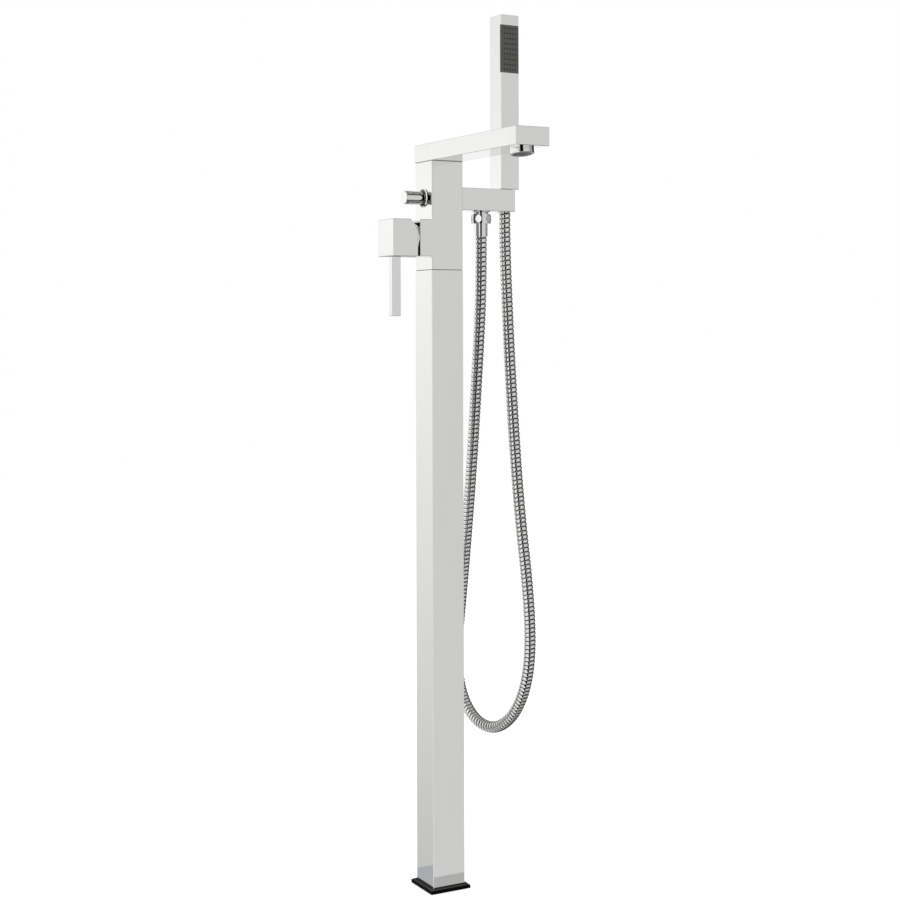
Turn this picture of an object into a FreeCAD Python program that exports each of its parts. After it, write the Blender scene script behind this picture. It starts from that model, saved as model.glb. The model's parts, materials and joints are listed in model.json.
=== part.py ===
import FreeCAD, Part
import math
import os

# Floor standing bath filler: a square column that carries a mixer body, a square spout, a lever on a
# ceramic cartridge, a pull knob that diverts the water, and a hand shower on a metal hose.
# Millimetres. +Z is up, the origin is on the floor under the column's axis.
# The spout points along -Y, the lever and the knob along -X, the arm of the hand shower along +X.

os.makedirs("parts", exist_ok=True)

V = FreeCAD.Vector
X_AXIS = V(1, 0, 0)
Y_AXIS = V(0, 1, 0)
Z_AXIS = V(0, 0, 1)

# Clearances
SLIP = 0.05        # between pieces of one body that are pushed or screwed together
RUN = 0.05         # around a shaft that turns or slides in its bearing
AIR = 0.3          # between faces that move past each other
EDGE = 0.8         # rounding of the polished outer edges

# Base gasket, foot block and column
GASKET_WIDTH = 57.0
GASKET_HEIGHT = 5.1
GASKET_CHAMFER = 1.6
COLUMN_WIDTH = 46.0
COLUMN_WALL = 2.0
COLUMN_LENGTH = 797.1
FOOT_HEIGHT = 30.0
FLOOR_BOLT_SPACING = 29.0
FLOOR_BOLT_RADIUS = 3.25
INLET_SPACING = 20.0
INLET_THREAD_RADIUS = 7.5
INLET_THREAD_DEPTH = 12.0
INLET_RELIEF_RADIUS = 7.9
INLET_RELIEF_HEIGHT = 1.5
GRUB_RADIUS = 2.0
GRUB_LENGTH = 6.0
GRUB_HEIGHT = 21.0
GRUB_SPACING = 20.0

# Tie rods that pull the mixer body down on the column
ROD_SPACING = 27.0
ROD_RADIUS = 3.0
ROD_THREAD_DEPTH = 9.0
ROD_NUT_FLATS = 10.0
ROD_NUT_HEIGHT = 5.0
ROD_END = 1.0

# Risers, the two copper pipes inside the column
RISER_RADIUS = 5.0
RISER_WALL = 1.0
RISER_FOOT_DEPTH = 14.0
RISER_BODY_DEPTH = 23.0
RISER_RING_SECTION = 0.9
RISER_RING_DEPTH = 7.0

# Mixer body
SEAL_HEIGHT = 0.8
SEAL_SETBACK = 1.0
BODY_WIDTH = 45.3
BODY_HEIGHT = 140.6
SPIGOT_LENGTH = 12.0
PASSAGE_RADIUS = 3.5

# Cartridge boss on the body's left face, and the cartridge in it
LEVER_AXIS_ABOVE_BODY = 40.5
BOSS_REACH = 16.75
BOSS_HEIGHT = 47.6
CARTRIDGE_RADIUS = 17.5
CARTRIDGE_LENGTH = 21.4
CARTRIDGE_WALL = 1.5
CARTRIDGE_BASE = 2.5
PORT_OFFSET = 8.5
PORT_RADIUS = 2.8
PORT_SEAL_WIDTH = 1.2
PORT_SEAL_HEIGHT = 1.6
FIXED_DISC_HEIGHT = 3.5
MOVING_DISC_RADIUS = 12.0
MOVING_DISC_HEIGHT = 4.0
MOVING_DISC_POCKET = 1.7
CARRIER_RADIUS = 14.0
CARRIER_OVERHANG = 0.6
CARRIER_SLOT_UP = 7.5
CARRIER_SLOT_DOWN = 7.8
NUT_LENGTH = 6.0
NUT_RADIUS = 19.0
NUT_BORE = 15.2
DOME_RADIUS = 20.5
DOME_WALL = 1.5
DOME_OPENING = 13.2
PIVOT_DEPTH = 6.4
PIN_RADIUS = 1.5
PIN_LENGTH = 22.0

# Stem, lever block and lever bar
STEM_WIDTH = 8.0
STEM_REACH = 29.0
STEM_TIP_RADIUS = 2.4
STEM_TIP_REACH = 9.8
LEVER_GAP = 2.9
LEVER_DEPTH = 35.7
LEVER_WIDTH = 44.6
LEVER_WALL = 3.0
LEVER_ARC_RADIUS = 31.8
LEVER_BOSS_RADIUS = 8.0
LEVER_SOCKET_LENGTH = 8.0
BAR_THICKNESS = 12.5
BAR_WIDTH = 9.8
BAR_LENGTH = 76.9
BAR_FROM_FACE = 7.0
BAR_SPIGOT_RADIUS = 3.0
BAR_SPIGOT_LENGTH = 2.6
LEVER_SCREW_RADIUS = 2.5
LEVER_SCREW_LENGTH = 8.0
LEVER_CAP_LENGTH = 3.0

# Diverter in the upper body, on the same axis as the arm of the hand shower
ARM_AXIS_ABOVE_BODY = 93.15
CHAMBER_RADIUS = 8.0
CHAMBER_END = 8.0
ORIFICE_RADIUS = 4.5
BUSH_LENGTH = 12.65
COLLAR_RADIUS = 7.8
COLLAR_LENGTH = 5.7
ROSETTE_RADIUS = 12.4
ROSETTE_RIM = 1.2
ROSETTE_HEIGHT = 3.4
ROSETTE_TOP_RADIUS = 9.0
SPINDLE_RADIUS = 2.5
SPINDLE_DISC_RADIUS = 6.5
SPINDLE_DISC_HEIGHT = 2.0
SPINDLE_IN_KNOB = 14.0
VALVE_WASHER_HEIGHT = 2.0
KNOB_RADIUS = 8.75
KNOB_LENGTH = 22.8
KNOB_STANDOFF = 0.3
BUSH_RING_SECTION = 0.95

# Spout and aerator
SPOUT_WIDTH = 47.0
SPOUT_HEIGHT = 22.6
SPOUT_REACH = 234.6
SPOUT_BACK = 24.25
SPOUT_WALL = 3.5
SPOUT_NIPPLE_RADIUS = 10.0
SPOUT_NIPPLE_BORE = 7.0
SPOUT_NIPPLE_DEPTH = 12.6
SPOUT_SEAL_RADIUS = 14.0
SPOUT_SEAL_WIDTH = 2.5
SPOUT_SEAL_HEIGHT = 1.5
AERATOR_FROM_TIP = 25.9
AERATOR_TILT = 8.0
AERATOR_RADIUS = 14.75
AERATOR_PROUD = 8.5
AERATOR_BORE = 11.8
AERATOR_RECESS = 1.2
MESH_THICKNESS = 1.0
MESH_HOLE_RADIUS = 0.65
MESH_PITCH = 2.0
MESH_MARGIN = 1.4
FLOW_CORE_LENGTH = 6.0
FLOW_CORE_WALL = 1.4
AERATOR_WASHER_HEIGHT = 1.5

# Arm of the hand shower, its open socket and the liner in it
ARM_WIDTH = 29.5
ARM_REACH = 84.15
ARM_BORE = 4.5
CONNECTOR_RADIUS = 8.0
CONNECTOR_BORE = 5.0
CONNECTOR_IN_BODY = 10.0
CONNECTOR_IN_ARM = 9.0
ARM_RING_WIDTH = 1.8
ARM_RING_HEIGHT = 1.6
SOCKET_X = 99.4
LINER_WALL = 1.2
MOUTH_WIDTH = 15.6

# Hose outlet under the arm, with its nut and ferrule
OUTLET_X = 63.2
OUTLET_FLANGE_RADIUS = 12.2
OUTLET_FLANGE_HEIGHT = 0.8
OUTLET_NECK_RADIUS = 9.0
OUTLET_NECK_DROP = 3.0
OUTLET_THREAD_RADIUS = 10.4
OUTLET_THREAD_LENGTH = 7.1
OUTLET_STUD_RADIUS = 6.5
OUTLET_STUD_LENGTH = 10.0
OUTLET_BORE = 4.0
HOSE_NUT_FLATS = 25.6
HOSE_NUT_RADIUS = 13.4
HOSE_NUT_END_RADIUS = 12.4
HOSE_NUT_HEIGHT = 12.6
HOSE_NUT_FLOOR = 2.0
HOSE_NUT_TURN = 15.4
WASHER_HEIGHT = 2.0
FERRULE_NECK_RADIUS = 6.1
FERRULE_FLANGE_HEIGHT = 1.5
FERRULE_RADIUS = 8.5
FERRULE_LENGTH = 16.7
FERRULE_BARB_RADIUS = 4.8
FERRULE_BARB_LENGTH = 10.0
FERRULE_BORE = 3.5

# Hose: a ribbed metal tube, bore and outer ribs
HOSE_RADIUS = 7.6
HOSE_GROOVE_RADIUS = 6.9
HOSE_BORE_RADIUS = 5.0
HOSE_RIBS = 250

# Cone nut of the hose, which sits in the socket
CONE_HEIGHT = 26.5
CONE_TOP_RADIUS = 11.6
CONE_BOTTOM_RADIUS = 9.4
CONE_THREAD_RADIUS = 9.3
CONE_FLOOR = 7.4
END_COLLAR_HEIGHT = 1.0
END_FLANGE_RADIUS = 8.3

# Handset
HANDSET_WIDTH = 28.1
HANDSET_LENGTH = 231.2
HANDSET_WALL = 2.5
HANDSET_TURN = 2.2
TAIL_THREAD_RADIUS = 9.2
TAIL_FLANGE_RADIUS = 11.0
TAIL_FLANGE_HEIGHT = 4.0
TAIL_SPIGOT_RADIUS = 4.5
TAIL_SPIGOT_LENGTH = 10.0
TAIL_BORE = 3.0
DUCT_RADIUS = 6.0
PLATE_FROM_TOP = 13.5
PLATE_HEIGHT = 63.4
PLATE_THICKNESS = 2.5
NOZZLE_COLUMNS = 5
NOZZLE_ROWS = 9
NOZZLE_PITCH_X = 4.3
NOZZLE_PITCH_Z = 6.85
NOZZLE_RADIUS = 0.85
NOZZLE_JET_RADIUS = 0.35
NOZZLE_PROUD = 0.6
MAT_THICKNESS = 1.5
CHAMBER_DEPTH = 17.0
CHAMBER_WALL = 1.5

# Heights and planes that follow from the sizes above
COLUMN_TOP = GASKET_HEIGHT + COLUMN_LENGTH
BODY_BOTTOM = COLUMN_TOP + SEAL_HEIGHT
BODY_TOP = BODY_BOTTOM + BODY_HEIGHT
SPIGOT_BOTTOM = BODY_BOTTOM - SPIGOT_LENGTH
FOOT_WIDTH = COLUMN_WIDTH - 2 * COLUMN_WALL - 2 * AIR
LEVER_Z = BODY_BOTTOM + LEVER_AXIS_ABOVE_BODY
ARM_Z = BODY_BOTTOM + ARM_AXIS_ABOVE_BODY
ARM_BOTTOM = ARM_Z - ARM_WIDTH / 2
ARM_TOP = ARM_Z + ARM_WIDTH / 2
BODY_FACE = BODY_WIDTH / 2
BOSS_FACE = -BODY_FACE - BOSS_REACH
PIVOT_X = BOSS_FACE + PIVOT_DEPTH
PIVOT = V(PIVOT_X, 0, LEVER_Z)
CARTRIDGE_TOP = BOSS_FACE + NUT_LENGTH
CARTRIDGE_FLOOR = CARTRIDGE_TOP + CARTRIDGE_LENGTH
LEVER_FACE = BOSS_FACE - LEVER_GAP
OUTLET_THREAD_TOP = ARM_BOTTOM - OUTLET_FLANGE_HEIGHT - OUTLET_NECK_DROP
OUTLET_THREAD_BOTTOM = OUTLET_THREAD_TOP - OUTLET_THREAD_LENGTH
NUT_FLOOR_TOP = OUTLET_THREAD_BOTTOM - WASHER_HEIGHT - FERRULE_FLANGE_HEIGHT
HOSE_NUT_BOTTOM = NUT_FLOOR_TOP - HOSE_NUT_FLOOR
HOSE_START = HOSE_NUT_BOTTOM - FERRULE_LENGTH
CONE_BOTTOM = ARM_TOP - CONE_HEIGHT
HOSE_END = CONE_BOTTOM - SLIP - END_COLLAR_HEIGHT
HANDSET_BOTTOM = ARM_TOP + AIR
HANDSET_TOP = HANDSET_BOTTOM + HANDSET_LENGTH

# The hose's route from its ferrule, down one leg, round the loop and up the other leg to the cone nut.
# The loop hangs across the arm: it swings back on the ferrule's side and comes up in front.
HOSE_ROUTE = [
    (OUTLET_X, 0.0, HOSE_START),
    (OUTLET_X, 0.0, 816.0),
    (63.5, 2.4, 764.0),
    (63.9, 8.7, 706.0),
    (64.4, 16.0, 650.0),
    (64.9, 23.2, 594.0),
    (65.4, 31.0, 537.5),
    (65.9, 40.4, 481.0),
    (66.5, 50.2, 425.0),
    (67.0, 60.0, 372.0),
    (67.2, 69.0, 327.0),
    (67.1, 74.5, 287.5),
    (67.5, 71.7, 251.5),
    (69.5, 57.0, 219.0),
    (74.5, 29.5, 197.0),
    (82.0, -4.0, 195.0),
    (88.4, -33.4, 213.0),
    (91.0, -55.5, 241.0),
    (92.2, -69.5, 273.5),
    (92.6, -75.6, 310.5),
    (92.8, -74.0, 354.0),
    (93.6, -65.0, 405.5),
    (94.8, -51.0, 460.5),
    (95.9, -39.0, 516.0),
    (96.8, -29.7, 572.0),
    (97.6, -21.5, 628.5),
    (98.2, -14.3, 685.0),
    (98.7, -8.5, 741.0),
    (99.1, -3.2, 799.0),
    (SOCKET_X, 0.0, 852.0),
    (SOCKET_X, 0.0, HOSE_END),
]
CORNER_SHARE = 0.45


def save(node, *solids):
    shape = solids[0] if len(solids) == 1 else Part.makeCompound(solids)
    shape.exportStep(f"parts/{node}.step")


def block(x0, x1, y0, y1, z0, z1):
    return Part.makeBox(x1 - x0, y1 - y0, z1 - z0, V(x0, y0, z0))


def square(width, z0, z1):
    half = width / 2
    return block(-half, half, -half, half, z0, z1)


def rod(start, axis, radius, length):
    return Part.makeCylinder(radius, length, start, axis)


def tube(start, axis, radius, bore, length):
    return rod(start, axis, radius, length).cut(rod(start, axis, bore, length))


def cone(start, axis, radius, end_radius, length):
    return Part.makeCone(radius, end_radius, length, start, axis)


def o_ring(centre, axis, inner, section):
    return Part.makeTorus(inner + section, section, centre, axis)


def ring_groove(centre, axis, inner, section):
    width = 2 * (section + SLIP)
    return tube(centre - axis * (width / 2), axis, inner + width, inner - SLIP, width)


def hexagon(centre, axis, flats, height, turn):
    corner = flats / math.sqrt(3)
    points = []
    for k in range(7):
        angle = math.radians(60 * k + turn)
        points.append(centre + V(corner * math.cos(angle), corner * math.sin(angle), 0))
    return Part.Face(Part.makePolygon(points)).extrude(axis * height)


def chamfered_nut(centre, flats, height, turn):
    corner = flats / math.sqrt(3)
    drop = (corner - flats / 2) * 0.6
    lens = cone(centre, Z_AXIS, flats / 2, corner, drop)
    lens = lens.fuse(rod(centre + V(0, 0, drop), Z_AXIS, corner, height - 2 * drop))
    lens = lens.fuse(cone(centre + V(0, 0, height - drop), Z_AXIS, corner, flats / 2, drop))
    return hexagon(centre, Z_AXIS, flats, height, turn).common(lens)


def barrel_nut(centre, flats, radius, end_radius, height, turn):
    """A nut turned to a barrel, widest at mid height, on which six flats leave oval facets."""
    low = centre + V(end_radius, 0, 0)
    middle = centre + V(radius, 0, height / 2)
    high = centre + V(end_radius, 0, height)
    top = centre + V(0, 0, height)
    edges = [
        Part.LineSegment(centre, low).toShape(),
        Part.Arc(low, middle, high).toShape(),
        Part.LineSegment(high, top).toShape(),
        Part.LineSegment(top, centre).toShape(),
    ]
    barrel = Part.Face(Part.Wire(edges)).revolve(centre, Z_AXIS, 360)
    return hexagon(centre, Z_AXIS, flats, height, turn).common(barrel)


def outer_edges(shape, keep):
    return [edge for edge in shape.Edges if keep(edge.BoundBox)]


def soft_box(x0, x1, y0, y1, z0, z1, radius):
    shape = block(x0, x1, y0, y1, z0, z1)
    return shape.makeFillet(radius, shape.Edges)


# ---------------------------------------------------------------- base and column


def riser_places():
    return [V(0, INLET_SPACING / 2, 0), V(0, -INLET_SPACING / 2, 0)]


def rod_places():
    return [V(-ROD_SPACING / 2, 0, 0), V(ROD_SPACING / 2, 0, 0)]


def grub_places():
    y = COLUMN_WIDTH / 2 - GRUB_LENGTH
    return [V(-GRUB_SPACING / 2, y, GRUB_HEIGHT), V(GRUB_SPACING / 2, y, GRUB_HEIGHT)]


def lift(point, z):
    return V(point.x, point.y, z)


def base_gasket():
    shape = square(GASKET_WIDTH, 0, GASKET_HEIGHT)
    top = outer_edges(shape, lambda box: box.ZMin > GASKET_HEIGHT / 2)
    shape = shape.makeChamfer(GASKET_CHAMFER, top)
    save("base_gasket", shape.cut(square(COLUMN_WIDTH - 2 * COLUMN_WALL, 0, GASKET_HEIGHT)))


def foot_ring_height():
    return FOOT_HEIGHT - RISER_RING_DEPTH


def foot_block():
    shape = square(FOOT_WIDTH, 0, FOOT_HEIGHT)
    half = FLOOR_BOLT_SPACING / 2
    for x in (-half, half):
        for y in (-half, half):
            shape = shape.cut(rod(V(x, y, 0), Z_AXIS, FLOOR_BOLT_RADIUS, FOOT_HEIGHT))
    socket = FOOT_HEIGHT - RISER_FOOT_DEPTH
    for place in riser_places():
        shape = shape.cut(rod(place, Z_AXIS, INLET_THREAD_RADIUS, INLET_THREAD_DEPTH))
        relief = lift(place, INLET_THREAD_DEPTH)
        shape = shape.cut(rod(relief, Z_AXIS, INLET_RELIEF_RADIUS, INLET_RELIEF_HEIGHT))
        shape = shape.cut(rod(place, Z_AXIS, RISER_RADIUS - RISER_WALL, FOOT_HEIGHT))
        seat = lift(place, socket)
        shape = shape.cut(rod(seat, Z_AXIS, RISER_RADIUS + SLIP, RISER_FOOT_DEPTH))
        groove = lift(place, foot_ring_height())
        shape = shape.cut(ring_groove(groove, Z_AXIS, RISER_RADIUS + SLIP, RISER_RING_SECTION))
    for place in rod_places():
        shape = shape.cut(rod(place, Z_AXIS, ROD_RADIUS + AIR, FOOT_HEIGHT))
        corner = ROD_NUT_FLATS / math.sqrt(3)
        shape = shape.cut(rod(place, Z_AXIS, corner + AIR, ROD_END + ROD_NUT_HEIGHT))
    for place in grub_places():
        shape = shape.cut(rod(place, Y_AXIS, GRUB_RADIUS + SLIP, GRUB_LENGTH))
    save("foot_block", shape)


def column_sleeve():
    shape = square(COLUMN_WIDTH, GASKET_HEIGHT, COLUMN_TOP)
    upright = outer_edges(shape, lambda box: box.ZLength > COLUMN_LENGTH / 2)
    shape = shape.makeFillet(EDGE, upright)
    shape = shape.cut(square(COLUMN_WIDTH - 2 * COLUMN_WALL, GASKET_HEIGHT, COLUMN_TOP))
    for place in grub_places():
        shape = shape.cut(rod(place, Y_AXIS, GRUB_RADIUS + SLIP, GRUB_LENGTH))
    save("column_sleeve", shape)


def column_grub_screws():
    key = GRUB_RADIUS
    screws = []
    for place in grub_places():
        screw = rod(place, Y_AXIS, GRUB_RADIUS, GRUB_LENGTH)
        end = place + Y_AXIS * (GRUB_LENGTH - key)
        screws.append(screw.cut(rod(end, Y_AXIS, GRUB_RADIUS / 2, key)))
    save("column_grub_screws", *screws)


def tie_rods():
    top = SPIGOT_BOTTOM + ROD_THREAD_DEPTH
    rods = [rod(lift(place, ROD_END), Z_AXIS, ROD_RADIUS, top - ROD_END) for place in rod_places()]
    save("tie_rods", *rods)
    nuts = []
    for place in rod_places():
        nut = chamfered_nut(lift(place, ROD_END), ROD_NUT_FLATS, ROD_NUT_HEIGHT, 0)
        nuts.append(nut.cut(rod(lift(place, ROD_END), Z_AXIS, ROD_RADIUS + SLIP, ROD_NUT_HEIGHT)))
    save("tie_rod_nuts", *nuts)


def risers():
    bottom = FOOT_HEIGHT - RISER_FOOT_DEPTH
    length = SPIGOT_BOTTOM + RISER_BODY_DEPTH - bottom
    for node, place in zip(("hot_riser", "cold_riser"), riser_places()):
        save(node, tube(lift(place, bottom), Z_AXIS, RISER_RADIUS, RISER_RADIUS - RISER_WALL, length))
    rings = []
    for place in riser_places():
        for z in (foot_ring_height(), SPIGOT_BOTTOM + RISER_RING_DEPTH):
            rings.append(o_ring(lift(place, z), Z_AXIS, RISER_RADIUS + SLIP, RISER_RING_SECTION))
    save("riser_o_rings", *rings)


def column_top_seal():
    outer = square(COLUMN_WIDTH - 2 * SEAL_SETBACK, COLUMN_TOP, BODY_BOTTOM)
    save("column_top_seal", outer.cut(square(FOOT_WIDTH + 2 * SLIP, COLUMN_TOP, BODY_BOTTOM)))


# ---------------------------------------------------------------- mixer body


def boss_z():
    return LEVER_Z - BOSS_HEIGHT / 2, LEVER_Z + BOSS_HEIGHT / 2


def body_outline():
    low, high = boss_z()
    corners = [
        (-BODY_FACE, BODY_BOTTOM), (BODY_FACE, BODY_BOTTOM),
        (BODY_FACE, BODY_TOP), (-BODY_FACE, BODY_TOP),
        (-BODY_FACE, high), (BOSS_FACE, high),
        (BOSS_FACE, low), (-BODY_FACE, low),
        (-BODY_FACE, BODY_BOTTOM),
    ]
    points = [V(x, -BODY_FACE, z) for x, z in corners]
    return Part.Face(Part.makePolygon(points)).extrude(Y_AXIS * BODY_WIDTH)


def port_places(x):
    side = PORT_OFFSET * math.cos(math.radians(30))
    rise = PORT_OFFSET * math.sin(math.radians(30))
    return [V(x, side, LEVER_Z - rise), V(x, -side, LEVER_Z - rise), V(x, 0, LEVER_Z + PORT_OFFSET)]


def mixer_body():
    shape = body_outline()

    def polished(box):
        long_way = max(box.XLength, box.YLength, box.ZLength) > EDGE
        side = abs(abs(box.Center.y) - BODY_FACE) < EDGE and box.YLength < EDGE
        level = box.ZLength < EDGE and (box.ZMin < BODY_BOTTOM + EDGE or box.ZMax > BODY_TOP - EDGE)
        return long_way and side and not level

    shape = shape.makeFillet(EDGE, outer_edges(shape, polished))
    shape = shape.fuse(square(FOOT_WIDTH, SPIGOT_BOTTOM, BODY_BOTTOM))
    # inlet sockets for the risers, drillings up to the cartridge, and blind threads for the tie rods
    hot, cold, mixed = port_places(CARTRIDGE_FLOOR)
    for place, port in zip(riser_places(), (hot, cold)):
        seat = lift(place, SPIGOT_BOTTOM)
        shape = shape.cut(rod(seat, Z_AXIS, RISER_RADIUS + SLIP, RISER_BODY_DEPTH))
        shape = shape.cut(rod(seat, Z_AXIS, PASSAGE_RADIUS, port.z - SPIGOT_BOTTOM))
        shape = shape.cut(rod(port, X_AXIS, PORT_RADIUS, -CARTRIDGE_FLOOR))
        groove = lift(place, SPIGOT_BOTTOM + RISER_RING_DEPTH)
        shape = shape.cut(ring_groove(groove, Z_AXIS, RISER_RADIUS + SLIP, RISER_RING_SECTION))
    for place in rod_places():
        shape = shape.cut(rod(lift(place, SPIGOT_BOTTOM), Z_AXIS, ROD_RADIUS + SLIP, ROD_THREAD_DEPTH))
    # mixed water: from the cartridge to the diverter chamber, then up to the spout or out to the arm
    shape = shape.cut(rod(mixed, X_AXIS, PORT_RADIUS, -CARTRIDGE_FLOOR))
    shape = shape.cut(rod(V(0, 0, mixed.z), Z_AXIS, PASSAGE_RADIUS, ARM_Z - mixed.z))
    shape = shape.cut(rod(V(0, 0, ARM_Z), Z_AXIS, SPOUT_NIPPLE_BORE, BODY_TOP - ARM_Z))
    shape = shape.cut(rod(V(-BODY_FACE, 0, ARM_Z), X_AXIS, CHAMBER_RADIUS, BODY_FACE + CHAMBER_END))
    shape = shape.cut(rod(V(0, 0, ARM_Z), X_AXIS, ORIFICE_RADIUS, BODY_FACE))
    connector = V(BODY_FACE - CONNECTOR_IN_BODY, 0, ARM_Z)
    shape = shape.cut(rod(connector, X_AXIS, CONNECTOR_RADIUS + SLIP, CONNECTOR_IN_BODY))
    nipple = V(0, 0, BODY_TOP - SPOUT_NIPPLE_DEPTH)
    shape = shape.cut(rod(nipple, Z_AXIS, SPOUT_NIPPLE_RADIUS + SLIP, SPOUT_NIPPLE_DEPTH))
    groove = V(0, 0, BODY_TOP - SPOUT_SEAL_HEIGHT)
    shape = shape.cut(rod(groove, Z_AXIS, SPOUT_SEAL_RADIUS + SLIP, SPOUT_SEAL_HEIGHT))
    # cartridge seat and the thread of its nut
    mouth = V(BOSS_FACE, 0, LEVER_Z)
    depth = CARTRIDGE_FLOOR - BOSS_FACE
    shape = shape.cut(rod(mouth, X_AXIS, CARTRIDGE_RADIUS + SLIP, depth))
    shape = shape.cut(rod(mouth, X_AXIS, NUT_RADIUS + SLIP, NUT_LENGTH))
    save("mixer_body", shape)


# ---------------------------------------------------------------- cartridge


def cartridge_housing():
    axis_start = V(CARTRIDGE_TOP, 0, LEVER_Z)
    shape = rod(axis_start, X_AXIS, CARTRIDGE_RADIUS, CARTRIDGE_LENGTH)
    inner = CARTRIDGE_LENGTH - CARTRIDGE_BASE
    disc_stack = FIXED_DISC_HEIGHT + MOVING_DISC_HEIGHT + AIR
    wide = V(CARTRIDGE_TOP + inner - disc_stack, 0, LEVER_Z)
    shape = shape.cut(rod(axis_start, X_AXIS, CARRIER_RADIUS + RUN, inner))
    shape = shape.cut(rod(wide, X_AXIS, CARTRIDGE_RADIUS - CARTRIDGE_WALL, disc_stack))
    for port in port_places(CARTRIDGE_FLOOR - CARTRIDGE_BASE):
        shape = shape.cut(rod(port, X_AXIS, PORT_RADIUS, CARTRIDGE_BASE))
    seal = CARTRIDGE_FLOOR - PORT_SEAL_HEIGHT
    for port in port_places(seal):
        shape = shape.cut(rod(port, X_AXIS, PORT_RADIUS + PORT_SEAL_WIDTH + SLIP, PORT_SEAL_HEIGHT))
    save("cartridge_housing", shape)
    seals = []
    for port in port_places(seal):
        seals.append(tube(port, X_AXIS, PORT_RADIUS + PORT_SEAL_WIDTH, PORT_RADIUS, PORT_SEAL_HEIGHT))
    save("cartridge_base_seals", *seals)


def fixed_disc_face():
    return CARTRIDGE_FLOOR - CARTRIDGE_BASE - FIXED_DISC_HEIGHT


def moving_disc_face():
    return fixed_disc_face() - MOVING_DISC_HEIGHT


def ceramic_discs():
    start = V(fixed_disc_face(), 0, LEVER_Z)
    fixed = rod(start, X_AXIS, CARTRIDGE_RADIUS - CARTRIDGE_WALL - SLIP, FIXED_DISC_HEIGHT)
    for port in port_places(fixed_disc_face()):
        fixed = fixed.cut(rod(port, X_AXIS, PORT_RADIUS, FIXED_DISC_HEIGHT))
    save("ceramic_disc_fixed", fixed)
    start = V(moving_disc_face(), 0, LEVER_Z)
    moving = rod(start, X_AXIS, MOVING_DISC_RADIUS, MOVING_DISC_HEIGHT)
    half = STEM_TIP_RADIUS + RUN
    long_half = STEM_WIDTH / 2 + RUN
    pocket = block(
        moving_disc_face(), moving_disc_face() + MOVING_DISC_POCKET,
        -long_half, long_half, LEVER_Z - half, LEVER_Z + half,
    )
    mixing = rod(start + X_AXIS * (MOVING_DISC_HEIGHT - 1), X_AXIS, PORT_OFFSET + PORT_RADIUS / 2, 1)
    save("ceramic_disc_moving", moving.cut(pocket).cut(mixing))


def cartridge_carrier():
    start = BOSS_FACE - CARRIER_OVERHANG
    end = moving_disc_face() - RUN
    shape = rod(V(start, 0, LEVER_Z), X_AXIS, CARRIER_RADIUS, end - start)
    half = STEM_WIDTH / 2 + RUN
    slot = block(start, end, -half, half, LEVER_Z - CARRIER_SLOT_DOWN, LEVER_Z + CARRIER_SLOT_UP)
    shape = shape.cut(slot)
    pin_start = PIVOT - Y_AXIS * (PIN_LENGTH / 2)
    save("cartridge_carrier", shape.cut(rod(pin_start, Y_AXIS, PIN_RADIUS + SLIP, PIN_LENGTH)))
    save("cartridge_pin", rod(pin_start, Y_AXIS, PIN_RADIUS, PIN_LENGTH))


def cartridge_nut():
    start = V(BOSS_FACE, 0, LEVER_Z)
    save("cartridge_nut", tube(start, X_AXIS, NUT_RADIUS, NUT_BORE, NUT_LENGTH))


def cartridge_shroud():
    shape = Part.makeSphere(DOME_RADIUS, PIVOT).cut(Part.makeSphere(DOME_RADIUS - DOME_WALL, PIVOT))
    reach = 2 * DOME_RADIUS
    shape = shape.cut(rod(V(BOSS_FACE, 0, LEVER_Z), X_AXIS, reach, reach))
    save("cartridge_shroud", shape.cut(rod(PIVOT, -X_AXIS, DOME_OPENING, reach)))


# ---------------------------------------------------------------- lever


def cartridge_stem():
    half = STEM_WIDTH / 2
    shape = block(PIVOT_X - STEM_REACH, PIVOT_X, -half, half, LEVER_Z - half, LEVER_Z + half)
    hub = PIVOT - Y_AXIS * half
    shape = shape.fuse(rod(hub, Y_AXIS, half, STEM_WIDTH))
    shank = STEM_TIP_RADIUS - 0.6
    shape = shape.fuse(
        block(PIVOT_X, PIVOT_X + STEM_TIP_REACH, -half, half, LEVER_Z - shank, LEVER_Z + shank)
    )
    shape = shape.fuse(rod(hub + X_AXIS * STEM_TIP_REACH, Y_AXIS, STEM_TIP_RADIUS, STEM_WIDTH))
    save("cartridge_stem", shape.cut(rod(hub, Y_AXIS, PIN_RADIUS + RUN, STEM_WIDTH)))


def lever_span():
    low, high = boss_z()
    return LEVER_FACE - LEVER_DEPTH, LEVER_FACE, low, high


def lever_screw_x():
    return PIVOT_X - STEM_REACH + LEVER_SOCKET_LENGTH / 2


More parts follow.
